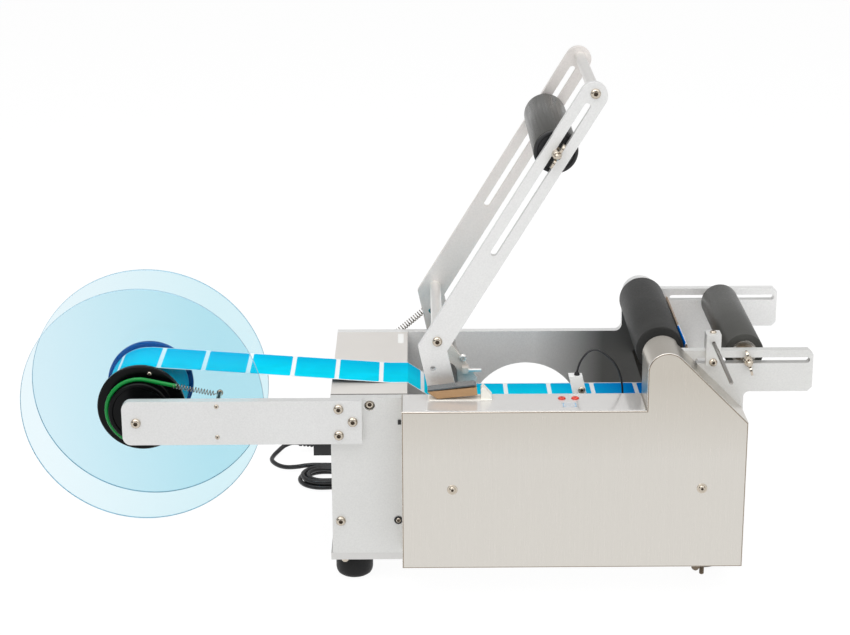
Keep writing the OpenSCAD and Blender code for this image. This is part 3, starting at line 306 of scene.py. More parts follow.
# Aluminium and steel of the frame, the covers and the arms
BRUSH_UP = (1.0, 1.0, 0.012)
BRUSH_ALONG = (1.0, 0.03, 1.0)
SANDBLASTED = dict(tone=0.02, blotch=14, grain=600, depth=0.16, speckle=0.09)
alu = finish("sandblasted_aluminium", (230, 230, 228), 0.48, 0.7, **SANDBLASTED)
# arm_alu, back_arm_alu and back_alu are lighter copies of the plates' aluminium, painted light; the back
# arm's copy is also warmer to offset a blue reflection
arm_alu = finish("arm_aluminium", (240, 240, 239), 0.46, 0.7, **SANDBLASTED)
back_arm_alu = finish("back_arm_aluminium", (246, 241, 237), 0.46, 0.7, **SANDBLASTED)
back_alu = finish("back_plate_aluminium", (242, 242, 241), 0.46, 0.5, **SANDBLASTED)
# Inner face of the back plate: a lighter, less metallic copy with painted shade, dark from x 225 to 305 and
# light again past x 358, around the drive roller
back_inner_painted_shade = finish("back_plate_inner_face", (250, 250, 249), 0.5, 0.25, **SANDBLASTED,
                    fades=[(X, 225, 305, (108, 108, 106)), (X, 358, 370, (250, 250, 249))])
base_steel = finish("base_plate_steel", (215, 214, 212), 0.4, 0.8, tone=0.03, blotch=20, grain=1200,
                    depth=0.1)
bracket_alu = finish("bracket_aluminium", (232, 232, 231), 0.46, 0.7, **SANDBLASTED)
guide_alu = finish("guide_bracket_aluminium", (222, 215, 207), 0.55, 0.08, tone=0.03, blotch=30, grain=600,
                   depth=0.16, speckle=0.16)
# The brushed stainless has painted shade: darker and warmer from 160 mm up to 250 mm, standing in for the
# reflection that dims towards the top
cover_steel = finish("brushed_stainless", (214, 210, 203), 0.3, 1.0, tone=0.008, blotch=500, wear=0.04,
                     grain=2200, depth=0.02, stretch=BRUSH_UP, fades=[(Z, 160, 250, (200, 194, 184))])
# Painted highlight and painted dark reflection for the bands along the cover's rounded front edge
edge_painted_highlight = finish("cover_edge_polished", (238, 235, 230), 0.2, 0.8, tone=0.02, blotch=60, depth=0.03)
edge_dark = finish("cover_edge_shaded", (150, 138, 124), 0.26, 0.9, blotch=60, depth=0.03)
sheet_white = finish("top_sheet_finish", (230, 226, 221), 0.38, 0.4, tone=0.02, blotch=12, wear=0.04,
                     depth=0.05)
# Painted shade for the gap between the top sheet and the front plate
seam_painted_shade = finish("sheet_seam_shade", (84, 80, 76), 0.4, 0.4, tone=0.08, blotch=90)

# Panel, display, buttons and switch
GLOSSY_FILM = dict(wear=0.03, depth=0.02, coat_roughness=0.06)
panel = finish("panel_overlay_film", (217, 215, 213), 0.16, 0.3, tone=0.02, blotch=30, coat_weight=0.6,
               **GLOSSY_FILM)
display_pane = finish("display_film", (200, 203, 206), 0.16, tone=0.03, blotch=160, coat_weight=0.3,
                      **GLOSSY_FILM)
display_line = finish("display_line_blue", (112, 170, 210), 0.3, tone=0.05, blotch=200, depth=0.05)
display_segment = finish("display_segment_grey", (184, 188, 192), 0.2, tone=0.04, blotch=200, depth=0.03)
button_red = finish("button_red_plastic", (214, 52, 26), 0.28, tone=0.05, blotch=120, depth=0.08,
                    coat_weight=0.4)
# Darker red for the small dimple on each button's top: painted shade
button_dark = finish("button_dark_centre", (70, 22, 16), 0.4, tone=0.08, blotch=150)
switch_tan = finish("switch_tan_plastic", (176, 140, 102), 0.42, tone=0.07, blotch=70, specular_ior_level=0.3)
lever_dark = finish("switch_lever_smoked", (58, 65, 68), 0.12, tone=0.12, blotch=60, depth=0.03,
                    coat_weight=0.7)
pad_white = finish("switch_pad_cream", (240, 238, 230), 0.48, tone=0.02, blotch=60, depth=0.1)
sticker = finish("blank_sticker_paper", (240, 240, 238), 0.5, tone=0.02, blotch=60, depth=0.06)

# Screws, rods, springs and bearings
chrome = finish("polished_screw_steel", (196, 186, 172), 0.14, 1.0, blotch=220, wear=0.05, depth=0.05)
steel = finish("turned_steel", (196, 192, 186), 0.16, 1.0, tone=0.04, blotch=60, wear=0.05, depth=0.06)
# The rods' steel is a lighter copy of the other steels: painted light from above
rod_steel = finish("satin_rod_steel", (238, 236, 233), 0.3, 0.75, tone=0.03, blotch=60, wear=0.01, depth=0.0)
# The stop rod's steel is a darker copy: painted dark reflection along the rod
stop_rod_shaded_steel = finish("polished_stop_rod_steel", (164, 160, 155), 0.2, 1.0, tone=0.04, blotch=60, wear=0.02,
                    depth=0.0)
socket_dark = finish("screw_socket_shade", (84, 71, 57), 0.34, 0.6, tone=0.12, blotch=300, depth=0.05)
# Darker steel for the wing screw under the front cover: painted shade
wing_screw_shade_steel = finish("aged_wing_screw_steel", (112, 100, 86), 0.3, 0.9, tone=0.14, blotch=200, depth=0.1)
screw_set = [chrome, socket_dark]
spring_steel = finish("spring_wire", (146, 141, 134), 0.18, 1.0, tone=0.08, blotch=160, depth=0.05)
bearing_shield = finish("bearing_shield", (150, 140, 128), 0.3, 1.0, tone=0.08, blotch=120)
# Painted shade on the peel plate: its own brown 45 mm above the table, fading to dark at 20 mm above it and
# below, beside the drive roller
peel_brown = finish("peel_plate_steel", (176, 150, 126), 0.3, 0.9, tone=0.05, blotch=70, depth=0.06,
                    fades=[(Z, TABLE_Z + 45, TABLE_Z + 20, (60, 54, 48))])
pin_brass = finish("plug_pin_metal", (206, 200, 186), 0.22, 1.0, tone=0.05, blotch=120, depth=0.05)

# Reel, labels and brake
# From 112 mm deep the back flange is painted navy: the tint of light through the blue discs, on a flange that
# is black
hub_black = finish("hub_black_plastic", (5, 6, 7), 0.28, tone=0.14, blotch=50, wear=0.0, depth=0.0,
                   fades=[(Y, 112, 116, (0, 84, 156))], specular_ior_level=0.14)
# The discs' tint deepens towards the right, painted shade
disc_clear = clear_sheet("clear_blue_disc", (0.665, 0.858, 0.912), (0.8, 0.91, 0.95),
                         at(reel.x - 110, 0, 0).x, at(reel.x + 70, 0, 0).x)
disc_edge = finish("clear_disc_edge", (150, 192, 212), 0.25, blotch=80, depth=0.03)
# Painted shade on the labels: deeper blue towards the back of the strip, and much deeper from x 225 to 345
# towards the drive roller
label_blue = finish("label_film_blue", (2, 205, 234), 0.34, tone=0.07, blotch=45, wear=0.06, depth=0.04,
                    speckle=0.06, fades=[(Y, 70, 112, (0, 176, 220)), (X, 225, 345, (0, 110, 204))],
                    specular_ior_level=0.003)
# Painted shade: the liner's underside is dark blue, so the sheet below shows the strip's shadow as a dark
# reflection
liner_underside_shade = finish("liner_underside_blue", (34, 84, 104), 0.5, tone=0.05, blotch=60, depth=0.05)
liner = finish("liner_paper", (236, 239, 240), 0.45, tone=0.02, blotch=60, depth=0.05)
roll_sides = wound_sides("wound_label_edges", (222, 228, 230), (70, 160, 200))
cord_green = finish("brake_cord_green", (0, 130, 52), 0.26, tone=0.1, blotch=80, depth=0.06,
                    specular_ior_level=0.3)

# Rubber and plastic
rubber_black = finish("foot_rubber", (20, 20, 21), 0.5, tone=0.16, blotch=70, grain=500, depth=0.25,
                      specular_ior_level=0.3)
drive_rubber = finish("drive_roller_rubber", (50, 50, 49), 0.5, tone=0.2, blotch=32, grain=600, depth=0.25,
                      speckle=0.15, specular_ior_level=0.2)
roller_grey = finish("roller_rubber_grey", (72, 72, 69), 0.36, tone=0.1, blotch=40, grain=600, depth=0.18,
                     speckle=0.12, specular_ior_level=0.25)
press_grey = finish("press_roller_sleeve", (54, 53, 48), 0.3, 0.5, tone=0.12, blotch=160, wear=0.06,
                    grain=500, depth=0.1, stretch=BRUSH_ALONG)
plastic_black = finish("black_plastic", (30, 30, 32), 0.4, tone=0.12, blotch=60)
sensor_white = finish("sensor_white_plastic", (238, 239, 238), 0.36, tone=0.02, blotch=50, depth=0.08)
motor_black = finish("motor_black_paint", (34, 34, 36), 0.5, tone=0.12, blotch=40, depth=0.2)
case_grey = finish("case_grey_steel", (150, 152, 154), 0.42, 0.7, tone=0.05, blotch=30, depth=0.1)
belt_black = finish("belt_rubber", (26, 26, 27), 0.6, tone=0.15, blotch=80, grain=600, depth=0.25)
cord_black = finish("cord_jacket_black", (24, 24, 26), 0.38, tone=0.14, blotch=90, depth=0.1)
tie_red = finish("tie_red_plastic", (190, 26, 30), 0.4, tone=0.08, blotch=120)


# Mesh helpers

def facing(point, way, turn=0.0):
    """Place whose local Z runs along way, turned about it by turn degrees."""
    lean = Vector(way).to_track_quat("Z", "Y").to_matrix().to_4x4()
    return Matrix.Translation(point) @ lean @ Matrix.Rotation(radians(turn), 4, "Z")


def hexed(angle):
    """Reach of a hexagon past its flats at an angle."""
    return 1 / cos((angle + pi / 6) % (pi / 3) - pi / 6)


def join_rings(bm, a, b, material):
    """Faces between two rings of corners, where a ring of one corner is a pole."""
    count = max(len(a), len(b))
    for i in range(count):
        j = (i + 1) % count
        corners = [a[i % len(a)], a[j % len(a)], b[j % len(b)], b[i % len(b)]]
        corners = list(dict.fromkeys(corners))
        if len(corners) > 2:
            bm.faces.new(corners).material_index = material


def skin(bm, rings, material=0):
    """Closed shape over rings of corners, with a face on each end."""
    for a, b in zip(rings, rings[1:]):
        join_rings(bm, a, b, material)
    for end in (rings[0][::-1], rings[-1]):
        bm.faces.new(end).material_index = material


def lathe(bm, place, profile, steps, material=0, closed=False, inside=None):
    """Turned shape: profile of (radius, height) in millimetres about the place's Z.

    A third entry makes a hexagon, and the faces from the inside mark on take the next material.
    """
    rings = []
    for radius, height, *flats in profile:
        if radius == 0:
            rings.append([bm.verts.new(place @ Vector((0, 0, height * MM)))])
            continue
        ring = []
        for i in range(steps):
            angle = 2 * pi * i / steps
            r = radius * (hexed(angle) if flats else 1) * MM
            ring.append(bm.verts.new(place @ Vector((r * cos(angle), r * sin(angle), height * MM))))
        rings.append(ring)
    for k, (a, b) in enumerate(zip(rings, rings[1:])):
        join_rings(bm, a, b, material if inside is None or k < inside else material + 1)
    if closed:
        join_rings(bm, rings[-1], rings[0], material)


def lathe_y(bm, axis, profile, steps, material=0, closed=True):
    """Turned ring about a line along Y through axis, with the profile's heights as depths."""
    lathe(bm, facing(at(axis.x, 0, axis.z), BACK), profile, steps, material, closed)


def eased(r0, r1, y0, y1, edge, steps=3):
    """Closed profile of a ring from radius r0 to r1 and depth y0 to y1, with round outer edges."""
    turns = [pi / 2 * i / steps for i in range(steps + 1)]
    first = [(r1 - edge + edge * sin(t), y0 + edge - edge * cos(t)) for t in turns]
    last = [(r1 - edge + edge * cos(t), y1 - edge + edge * sin(t)) for t in turns]
    return [(r0, y0)] + first + last + [(r0, y1)]


def tube(bm, points, radius, sides):
    """Closed round tube along points in metres, carried along without twist."""
    ways = [(b - a).normalized() for a, b in zip(points, points[1:])]
    ways = [ways[0]] + [(a + b).normalized() for a, b in zip(ways, ways[1:])] + [ways[-1]]
    side = ways[0].orthogonal().normalized()
    rings = []
    for point, way in zip(points, ways):
        side = (side - side.dot(way) * way).normalized()
        other = way.cross(side)
        ring = []
        for k in range(sides):
            angle = 2 * pi * k / sides
            way_out = cos(angle) * side + sin(angle) * other
            ring.append(bm.verts.new(point + radius * MM * way_out))
        rings.append(ring)
    skin(bm, rings)


def slab(bm, place, outline, low, high):
    """Closed slab over an outline of (x, y) in the place's plane, from low to high along its Z."""
    skin(bm, [[bm.verts.new(place @ (Vector((x, y, z)) * MM)) for x, y in outline] for z in (low, high)])


def block(bm, low, high):
    """Closed block between two corners in millimetres, from either end along X."""
    x0, x1 = sorted((low[0], high[0]))
    outline = [(x0, low[1]), (x1, low[1]), (x1, high[1]), (x0, high[1])]
    slab(bm, Matrix.Translation(HOME), outline, low[2], high[2])


def colour_faces(bm, index, rule):
    """Give the faces that the rule takes one of the piece's other materials."""
    for face in bm.faces:
        if rule(face):
            face.material_index = index


def soften(bm, width, segments=2, angle=30.0, pick=None):
    """Round the edges that turn by more than angle degrees, or those of them that pick takes."""
    edges = [e for e in bm.edges if e.is_manifold and e.calc_face_angle(0) > radians(angle)]
    if pick:
        edges = [e for e in edges if pick(e)]
    bmesh.ops.bevel(bm, geom=edges, offset=width * MM, segments=segments, profile=0.5, affect="EDGES",
                    clamp_overlap=True)


def made(name, bm, materials, angle=35.0):
    """Object of a mesh that is smooth up to an angle."""
    bmesh.ops.recalc_face_normals(bm, faces=bm.faces)
    mesh = bpy.data.meshes.new(name)
    bm.to_mesh(mesh)
    bm.free()
    if "custom_normal" in mesh.attributes:
        mesh.attributes.remove(mesh.attributes["custom_normal"])
    mesh.shade_smooth()
    mesh.set_sharp_from_angle(angle=radians(angle))
    for material in materials if isinstance(materials, list) else [materials]:
        mesh.materials.append(material)
    return linked(name, mesh)


def piece(name, bm, materials, body, slot, *nodes, angle=35.0):
    """Object of a mesh that rides on a body and stands for its nodes."""
    obj = made(name, bm, materials, angle)
    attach(obj, body)
    if nodes:
        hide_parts(*nodes)
    return obj


def body_with(node):
    return next(body for body, nodes in frame["record"]["behaviour"]["bodies"].items() if node in nodes)


def node_mesh(node):
    """Mesh of a node, welded, with its flat faces whole."""
    bm = bmesh.new()
    bm.from_mesh(frame["nodes"][node].data)
    bmesh.ops.remove_doubles(bm, verts=bm.verts, dist=1e-6)
    bmesh.ops.dissolve_limit(bm, angle_limit=radians(0.3), verts=bm.verts, edges=bm.edges)
    for face in bm.faces:
        face.material_index = 0
    return bm


def finished(node, bm, materials, slot, even=True):
    """Piece from a node's reworked mesh, with its normals evened out."""
    obj = piece(node + "_finished", bm, materials, body_with(node), slot, node, angle=50)
    if even:
        obj.modifiers.new("even_normals", "WEIGHTED_NORMAL").keep_sharp = True
    return obj


def dress(node, material, slot, width, segments=2):
    """Piece in a node's own shape, with its sharp edges broken."""
    bm = node_mesh(node)
    soften(bm, width, segments)
    return finished(node, bm, material, slot)


def turned(name, node, body, slot, material, axis, profile, steps, closed=True):
    """Piece turned about a line along Y."""
    bm = bmesh.new()
    lathe_y(bm, axis, profile, steps, closed=closed)
    piece(name, bm, material, body, slot, node)


def paint(node, material):
    """Finish on a node that keeps its own mesh."""
    data = frame["nodes"][node].data
    data.materials.clear()
    data.materials.append(material)


# Mains lead: out of the gland, down to the floor, into the hank and on to the plug

CORD_D = 5.5
cord_home = Vector((150.0, OUT_Y + 32, 0.0))
GLAND_Z = 60.0
LEAD = [
    (0, 0, GLAND_Z), (0, 12, GLAND_Z), (-0.5, 24, 57.5), (-4, 35, 51), (-11, 44, 41), (-21, 50, 29),
    (-33, 53, 17), (-46, 54, 9), (-60, 54, 5), (-73, 54, 4), (-87, 54, 4), (-101, 54, 4),
]
TAIL = [
    (-179, 54, 10), (-187, 54, 10), (-197, 54.5, 9), (-207, 57, 6.5), (-219, 62, 4), (-229, 70, 2.8),
    (-237, 81, 2.8), (-240, 92, 2.8), (-238, 103, 3.5), (-233, 113, 5.5), (-226, 119.5, 9.5), (-217, 123, 12),
    (-208, 123, 12),
]
HANK_LOOPS = 4
HANK_HALF = 33.0
HANK_FOLD_R = 16.5
HANK_STEP = 6.7
HANK_DRAW = 0.1
HANK_LAYER = 6.0
HANK_STRAIGHT = 6.0
HANK_STEPS = 72


def smooth_line(points, steps):
    """Points along a smooth curve through the given ones."""
    spots = [Vector(p) for p in points]
    spots = [2 * spots[0] - spots[1]] + spots + [2 * spots[-1] - spots[-2]]
    line = []
    for a, b, c, d in zip(spots, spots[1:], spots[2:], spots[3:]):
        for i in range(steps):
            t = i / steps
            line.append(0.5 * (2 * b + (c - a) * t + (2 * a - 5 * b + 4 * c - d) * t ** 2
                               + (3 * b - 3 * c + d - a) * t ** 3))
    return line + [spots[-2]]


def hank_point(turn):
    """Point of the hank: loops that spiral in on one layer and out again on the next."""
    turns = HANK_LOOPS + 1 / 6
    r = HANK_FOLD_R + HANK_STEP * abs(turn - turns / 2)
    f = turn - floor(turn + 0.0001)
    climb = max(0.0, min(1.0, (turn - HANK_LOOPS / 2) * 6))
    z = HANK_LAYER * climb * climb * (3 - 2 * climb)

    def waist(x):
        return r * (1 - HANK_DRAW * (1 + cos(pi * x / HANK_HALF)) / 2)

    if f < 1 / 6:
        x = HANK_HALF * (1 - 12 * f)
        return Vector((x, waist(x), z))
    if f < 1 / 2:
        fold = radians(90 + 540 * (f - 1 / 6))
        return Vector((-HANK_HALF + r * cos(fold), r * sin(fold), z))
    if f < 2 / 3:
        x = HANK_HALF * (12 * (f - 1 / 2) - 1)
        return Vector((x, -waist(x), z))
    fold = radians(270 + 540 * (f - 2 / 3))
    return Vector((HANK_HALF + r * cos(fold), r * sin(fold), z))


def curve_piece(name, points, diameter, material, slot, *nodes):
    """Round cord along points in millimetres."""
    data = bpy.data.curves.new(name, "CURVE")
    data.dimensions = "3D"
    data.bevel_depth = diameter / 2 * MM
    data.bevel_resolution = 5
    data.use_fill_caps = True
    spline = data.splines.new("POLY")
    spline.points.add(len(points) - 1)
    for spot, point in zip(spline.points, points):
        spot.co = (*at(*point), 1)
    spline.use_smooth = True
    data.materials.append(material)
    obj = linked(name, data)
    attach(obj, "frame")
    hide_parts(*nodes)
    return obj


hank_r0 = HANK_FOLD_R + HANK_STEP * (HANK_LOOPS + 1 / 6) / 2
hank_c = cord_home + Vector(LEAD[-1]) - Vector((HANK_STRAIGHT + HANK_HALF, hank_r0, 0))
hank_count = HANK_STEPS * HANK_LOOPS + HANK_STEPS // 6 + 1
hank = [hank_c + hank_point(i / HANK_STEPS) for i in range(hank_count)]
lead = smooth_line([cord_home + Vector(p) for p in LEAD], 6)
tail = smooth_line([cord_home + Vector(p) for p in TAIL], 6)
mains_cord = curve_piece("mains_cord", lead + hank + tail, CORD_D, cord_black, "cord_black",
                         "cord_lead", "cord_hank", "cord_tail")

# Fibre of the label sensor: an arch from the sensor's top down to the table

FIBRE_D = 2.2
sensor_high = reach("label_sensor")[1]
SENSOR_X = 260.0
SENSOR_H = sensor_high.z - TABLE_Z
fibre_foot = Vector((SENSOR_X, 27.5, TABLE_Z))
FIBRE = [
    (-0.5, 0, SENSOR_H), (-0.3, 0, 43.5), (1.8, 0, 51.5), (5.8, 0, 59), (11, 0, 65), (17.5, 0, 67.5),
    (23.5, 0, 66), (29, 0, 62.5), (34, 0, 58), (38.5, 0, 53), (43.5, 0, 44), (46.5, 0, 34), (48, 0, 22.5),
    (48.5, 0, 10.5), (48.5, 0, 0),
]
fibre_line = smooth_line([fibre_foot + Vector(p) for p in FIBRE], 5)
fibre = curve_piece("sensor_fibre_cable", fibre_line, FIBRE_D, plastic_black, "plastic_black", "sensor_fibre")


# Screws, nuts and wing nuts

# Each head's width, height and key
M6 = (10.5, 3.3, 4.0)
M5 = (8.5, 4.0, 3.0)
M4 = (7.0, 2.2, 2.5)
M3 = (5.0, 1.2, 1.6)
CLAMP = (8.5, 3.0, 3.0)
SOCKET_TURN = 15
WING_BOSS_R = 5.5
WING_BOSS_H = 8.0
WING_T = 2.4
LOBE_R = 5.5
LOBE_X = 8.5
LOBE_Z = 8.0


def screw_head(bm, place, size):
    """Domed head with a hexagon socket, above the place's zero."""
    wide, tall, key = size
    r = wide / 2
    dome = [(0, 0), (r * 0.97, 0), (r, 0.12 * tall), (r, 0.3 * tall), (0.95 * r, 0.55 * tall),
            (0.84 * r, 0.78 * tall), (0.7 * r, 0.94 * tall), (0.6 * r, tall)]
    socket = [(key / 2 + 0.12, tall, True), (key / 2, tall - 0.15, True), (key / 2, 0.3 * tall, True),
              (0, 0.22 * tall)]
    lathe(bm, place, dome + socket, 36, inside=len(dome))


def screw_y(bm, x, y, z, way, size):
    screw_head(bm, facing(at(x, y, z), way, SOCKET_TURN), size)


def wing_nut(bm, place, bore=6.0):
    """Boss with two rounded wings, rising from the place's zero."""
    r, boss_h = WING_BOSS_R, WING_BOSS_H
    boss = [(bore / 2, 0), (r - 0.5, 0), (r, 0.6), (0.8 * r, boss_h - 0.6), (0.8 * r - 0.6, boss_h),
            (bore / 2, boss_h)]
    lathe(bm, place, boss, 32, closed=True)
    lobe = arc(Vector((LOBE_X, LOBE_Z)), LOBE_R, radians(-75), radians(141), 12)
    outline = [(bore / 2 + 0.4, 1.2), (r - 0.4, 1.4)] + lobe + [(bore / 2 + 0.4, boss_h - 0.8)]
    for side in (0, 180):
        wing = bmesh.new()
        upright = Matrix.Rotation(radians(90), 4, "X")
        slab(wing, Matrix.Rotation(radians(side), 4, "Z") @ upright, outline, -WING_T / 2, WING_T / 2)
        soften(wing, 0.55, 2, 40)
        wing.transform(place)
        spare = bpy.data.meshes.new("wing")
        wing.to_mesh(spare)
        wing.free()
        bm.from_mesh(spare)
        bpy.data.meshes.remove(spare)


def threaded(bm, place, radius, length):
    """Stud with a thread of 1 mm pitch that rises from the place's zero, with a chamfered end."""
    profile = [(0, 0), (radius, 0)]
    for low in range(int(length) - 1):
        profile += [(radius, low + 0.25), (radius * 0.88, low + 0.5), (radius, low + 0.75)]
    lathe(bm, place, profile + [(radius, length - 0.8), (radius - 0.8, length), (0, length)], 24)


# Frame: plates, base, rods, feet and their screws

def make_back_plate():
    bm = node_mesh("back_plate")
    soften(bm, 0.45)
    inner = at(0, OUT_Y - PLATE_T, 0).y
    # The inner face takes the copy with the painted shade around the drive roller
    colour_faces(bm, 1, lambda face: abs(face.calc_center_median().y - inner) < 0.01 * MM)
    finished("back_plate", bm, [back_alu, back_inner_painted_shade], "plate_alu")


def make_top_sheet():
    """Folded sheet, with painted shade in a band along its front edge, by the front plate."""
    bm = node_mesh("top_cover")
    soften(bm, 0.2)
    seam = at(0, reach("top_cover")[0].y + SEAM_SHADE_WIDTH, 0)
    whole = bm.verts[:] + bm.edges[:] + bm.faces[:]
    bmesh.ops.bisect_plane(bm, geom=whole, plane_co=seam, plane_no=BACK)
    bm.normal_update()
    colour_faces(bm, 1, lambda face: face.normal.z > 0.5 and face.calc_center_median().y < seam.y)
    finished("top_cover", bm, [sheet_white, seam_painted_shade], "sheet_white")


dress("base_plate", base_steel, "plate_alu", 0.5)
dress("front_plate", alu, "plate_alu", 0.45)
make_back_plate()
dress("frame_rods", steel, "steel", 0.5)
make_top_sheet()

RODS = [(41.1, TOP_Z - 8.5), (9, 73.5), (BODY_L - 17, 60.5), (BODY_L - 27, TOP_Z - 27)]
COUNTERBORE = 6.0
COVER_POSTS = [(126.7, 128.5), (BODY_L - 46.5, 128.5)]
BRACKET_SCREWS = [(8.9, reel.z + 14.3), (23.5, reel.z + 0.2), (8.9, reel.z - 14.8)]
BRAKE_POSTS = [(reel.x + 84.5, reel.z + 18), (reel.x + 84.5, reel.z - 16)]
BASE_SCREW_X = (12.8, BODY_L / 2, BODY_L - 12)
WING_SCREW = (BODY_L - 39.5, -22.0)
COVER_Z0 = reach("front_cover")[0].z
FOOT_R = 20.0
FEET = [(22.0, 30.0), (BODY_L - 27.5, 50.0)]


def make_fasteners():
    bm = bmesh.new()
    for i, (x, z) in enumerate(RODS):
        screw_y(bm, x, COUNTERBORE if i == 0 else 0, z, FRONT, M6)
        screw_y(bm, x, OUT_Y, z, BACK, M6)
    for x, z in BRACKET_SCREWS + [(reel.x, reel.z)]:
        screw_y(bm, x, BRACKET_FRONT, z, FRONT, M6)
    for x, z in COVER_POSTS:
        screw_y(bm, x, COVER_FRONT, z, FRONT, M4)
        washer = [(2, 0), (5.2, 0), (5.4, 0.2), (5.2, 0.5), (2, 0.5)]
        lathe(bm, facing(at(x, COVER_FRONT, z), FRONT), washer, 36, closed=True)
    for x, z in BRAKE_POSTS:
        screw_y(bm, x, BRACKET_FRONT, z, FRONT, M3)
    for x in BASE_SCREW_X:
        for y in (PLATE_T / 2, OUT_Y - PLATE_T / 2):
            screw_head(bm, facing(at(x, y, BASE_Z), DOWN), M5)
    bright = len(bm.faces)
    under = at(*WING_SCREW, COVER_Z0)
    wing_nut(bm, facing(under, DOWN, -35), bore=5.0)
    threaded(bm, facing(under + UP * 7.5 * MM, DOWN), 2.5, 27.5)
    nut = [(2.5, 0), (4.5, 0, True), (4.5, 4, True), (2.5, 4)]
    lathe(bm, facing(under + UP * 1.5 * MM, UP), nut, 36, closed=True)
    # The wing screw under the cover takes the darker steel, painted shade
    for face in list(bm.faces)[bright:]:
        face.material_index = 2
    piece("fastener_set", bm, screw_set + [wing_screw_shade_steel], "frame", "screw_steel", "fasteners")


def make_feet():
    bm = bmesh.new()
    r = FOOT_R
    profile = [(0, 0.6), (9, 0.6), (9.6, 0), (12, 0), (15.5, 0.8), (18, 2.6), (19.4, 5.2), (r, 8.5),
               (r, 24.5), (r - 0.5, 25.6), (r - 1.4, 26), (r - 1.4, 26.6), (r - 0.4, 27), (r - 0.4, BASE_Z),
               (0, BASE_Z)]
    for x, inset in FEET:
        for y in (inset, OUT_Y - inset):
            lathe(bm, facing(at(x, y, 0), UP), profile, 56)
    piece("rubber_feet", bm, rubber_black, "frame", "rubber_black", "feet")


make_fasteners()
make_feet()


# Small things on the front plate and the top sheet

GROMMET_X = 70.2
GROMMET_Z = 74.2
GROMMET_SCREW = (5.6, 1.6, 2.8)
CLIP = [(70.4, -1.6, 183.2), (73.9, 0, 188)]
STICKER = [(69.5, 180, TOP_Z), (76, 212, TOP_Z + 0.12)]


def make_trim():
    bm = bmesh.new()
    grommet = facing(at(GROMMET_X, 0, GROMMET_Z), FRONT)
    lathe(bm, grommet, [(2.5, 0), (4.3, 0), (4.6, 0.5), (4.3, 1.4), (3.3, 1.8), (2.5, 1.4)], 36, closed=True)
    block(bm, *CLIP)
    piece("plate_grommet", bm, plastic_black, "frame", "plastic_black")
    bm = bmesh.new()
    screw_head(bm, facing(at(GROMMET_X, -0.6, GROMMET_Z), FRONT), GROMMET_SCREW)
    piece("grommet_screw", bm, screw_set, "frame", "screw_steel")
    bm = bmesh.new()
    block(bm, *STICKER)
    piece("blank_sticker", bm, sticker, "frame", "sheet_white")


make_trim()


# Front cover, panel, display and buttons

def make_cover():
    bm = node_mesh("front_cover")
    front = at(0, COVER_FRONT, 0).y

    def outer(edge):
        if any(abs(v.co.y - front) > 0.02 * MM for v in edge.verts):
            return False
        spot = (edge.verts[0].co + edge.verts[1].co) / 2
        return all((spot - at(x, COVER_FRONT, z)).length > 6 * MM for x, z in COVER_POSTS)

    soften(bm, 1.45, 4, 30, outer)
    # On the rounded front edge, faces that turn up or down take the painted highlight, and faces that look
    # forward take the painted dark reflection
    for face in bm.faces:
        near = abs(face.calc_center_median().y - front) < 1.5 * MM
        if near and -0.99 < face.normal.y < -0.05 and face.calc_area() < 0.002:
            face.material_index = 1 if face.normal.y > -0.8 else 2
    soften(bm, 0.25, 2, 40)
    finished("front_cover", bm, [cover_steel, edge_painted_highlight, edge_dark], "cover_steel")


def make_display():
    low, high = reach("display_window")
    bm = bmesh.new()
    block(bm, low, high)
    soften(bm, 0.2)
    piece("display_pane", bm, display_pane, "frame", "display_glass", "display_window")
    bm = bmesh.new()
    top = high.z
    line = 0.8
    reach_in = 2.6
    raised = top + 0.06
    y0, y1 = low.y + 1.5, high.y - 1.5
    for x, side in ((low.x + 1.0, 1), (high.x - 1.0, -1)):
        for y in (y0, y1 - line):
            block(bm, (x, y, top), (x + side * reach_in, y + line, raised))
        block(bm, (x, y0, top), (x + side * line, y1, raised))
    piece("display_brackets", bm, display_line, "frame", "display_glass")
    bm = bmesh.new()
    tall = (high.y - low.y) * 0.56
    raised = top + 0.05
    for digit in (0.36, 0.64):
        x = low.x + digit * (high.x - low.x)
        y = (low.y + high.y) / 2
        for level in (-0.5, 0, 0.5):
            bar = y + level * tall
            block(bm, (x - 1.3, bar - 0.25, top), (x + 1.3, bar + 0.25, raised))
        for side in (-1.6, 1.6):
            for level in (-0.25, 0.25):
                block(bm, (x + side - 0.22, y + (level - 0.2) * tall, top),
                      (x + side + 0.22, y + (level + 0.2) * tall, raised))
    piece("display_segments", bm, display_segment, "frame", "display_glass")


def make_button(node):
    low, high = reach(node)
    spot = middle(node)
    r = 3.9
    rise = high.z - PANEL_TOP
    bm = bmesh.new()
    place = facing(at(spot.x, spot.y, PANEL_TOP), UP)
    foot = low.z - PANEL_TOP
    collar = [(0, foot), (5.2, foot), (5.2, foot + 1.2), (r, foot + 1.2)]
    dome = [(r, rise * 0.35), (0.96 * r, rise * 0.62), (0.84 * r, rise * 0.86), (0.64 * r, rise * 0.97),
            (1.0, rise)]
    lathe(bm, place, collar + dome, 40)
    # The small dimple at the top takes the darker red, painted shade
    lathe(bm, place, [(1.0, rise), (0.9, rise - 0.12), (0, rise - 0.12)], 40, 1)
    piece(node + "_cap", bm, [button_red, button_dark], node, "button_red", node)


make_cover()
dress("control_panel", panel, "panel_overlay", 0.2)
make_display()
make_button("left_button")
make_button("right_button")
dress("switch_pad", pad_white, "sensor_white", 0.35)
dress("switch_body", switch_tan, "switch_tan", 0.4)
dress("switch_lever", lever_dark, "lever_dark", 0.3)


# Reel: bracket, shaft, hub, discs, roll and brake

HUB_SCREW = (5.0, 1.9, 2.0)
HUB_SCREW_R = 40.0


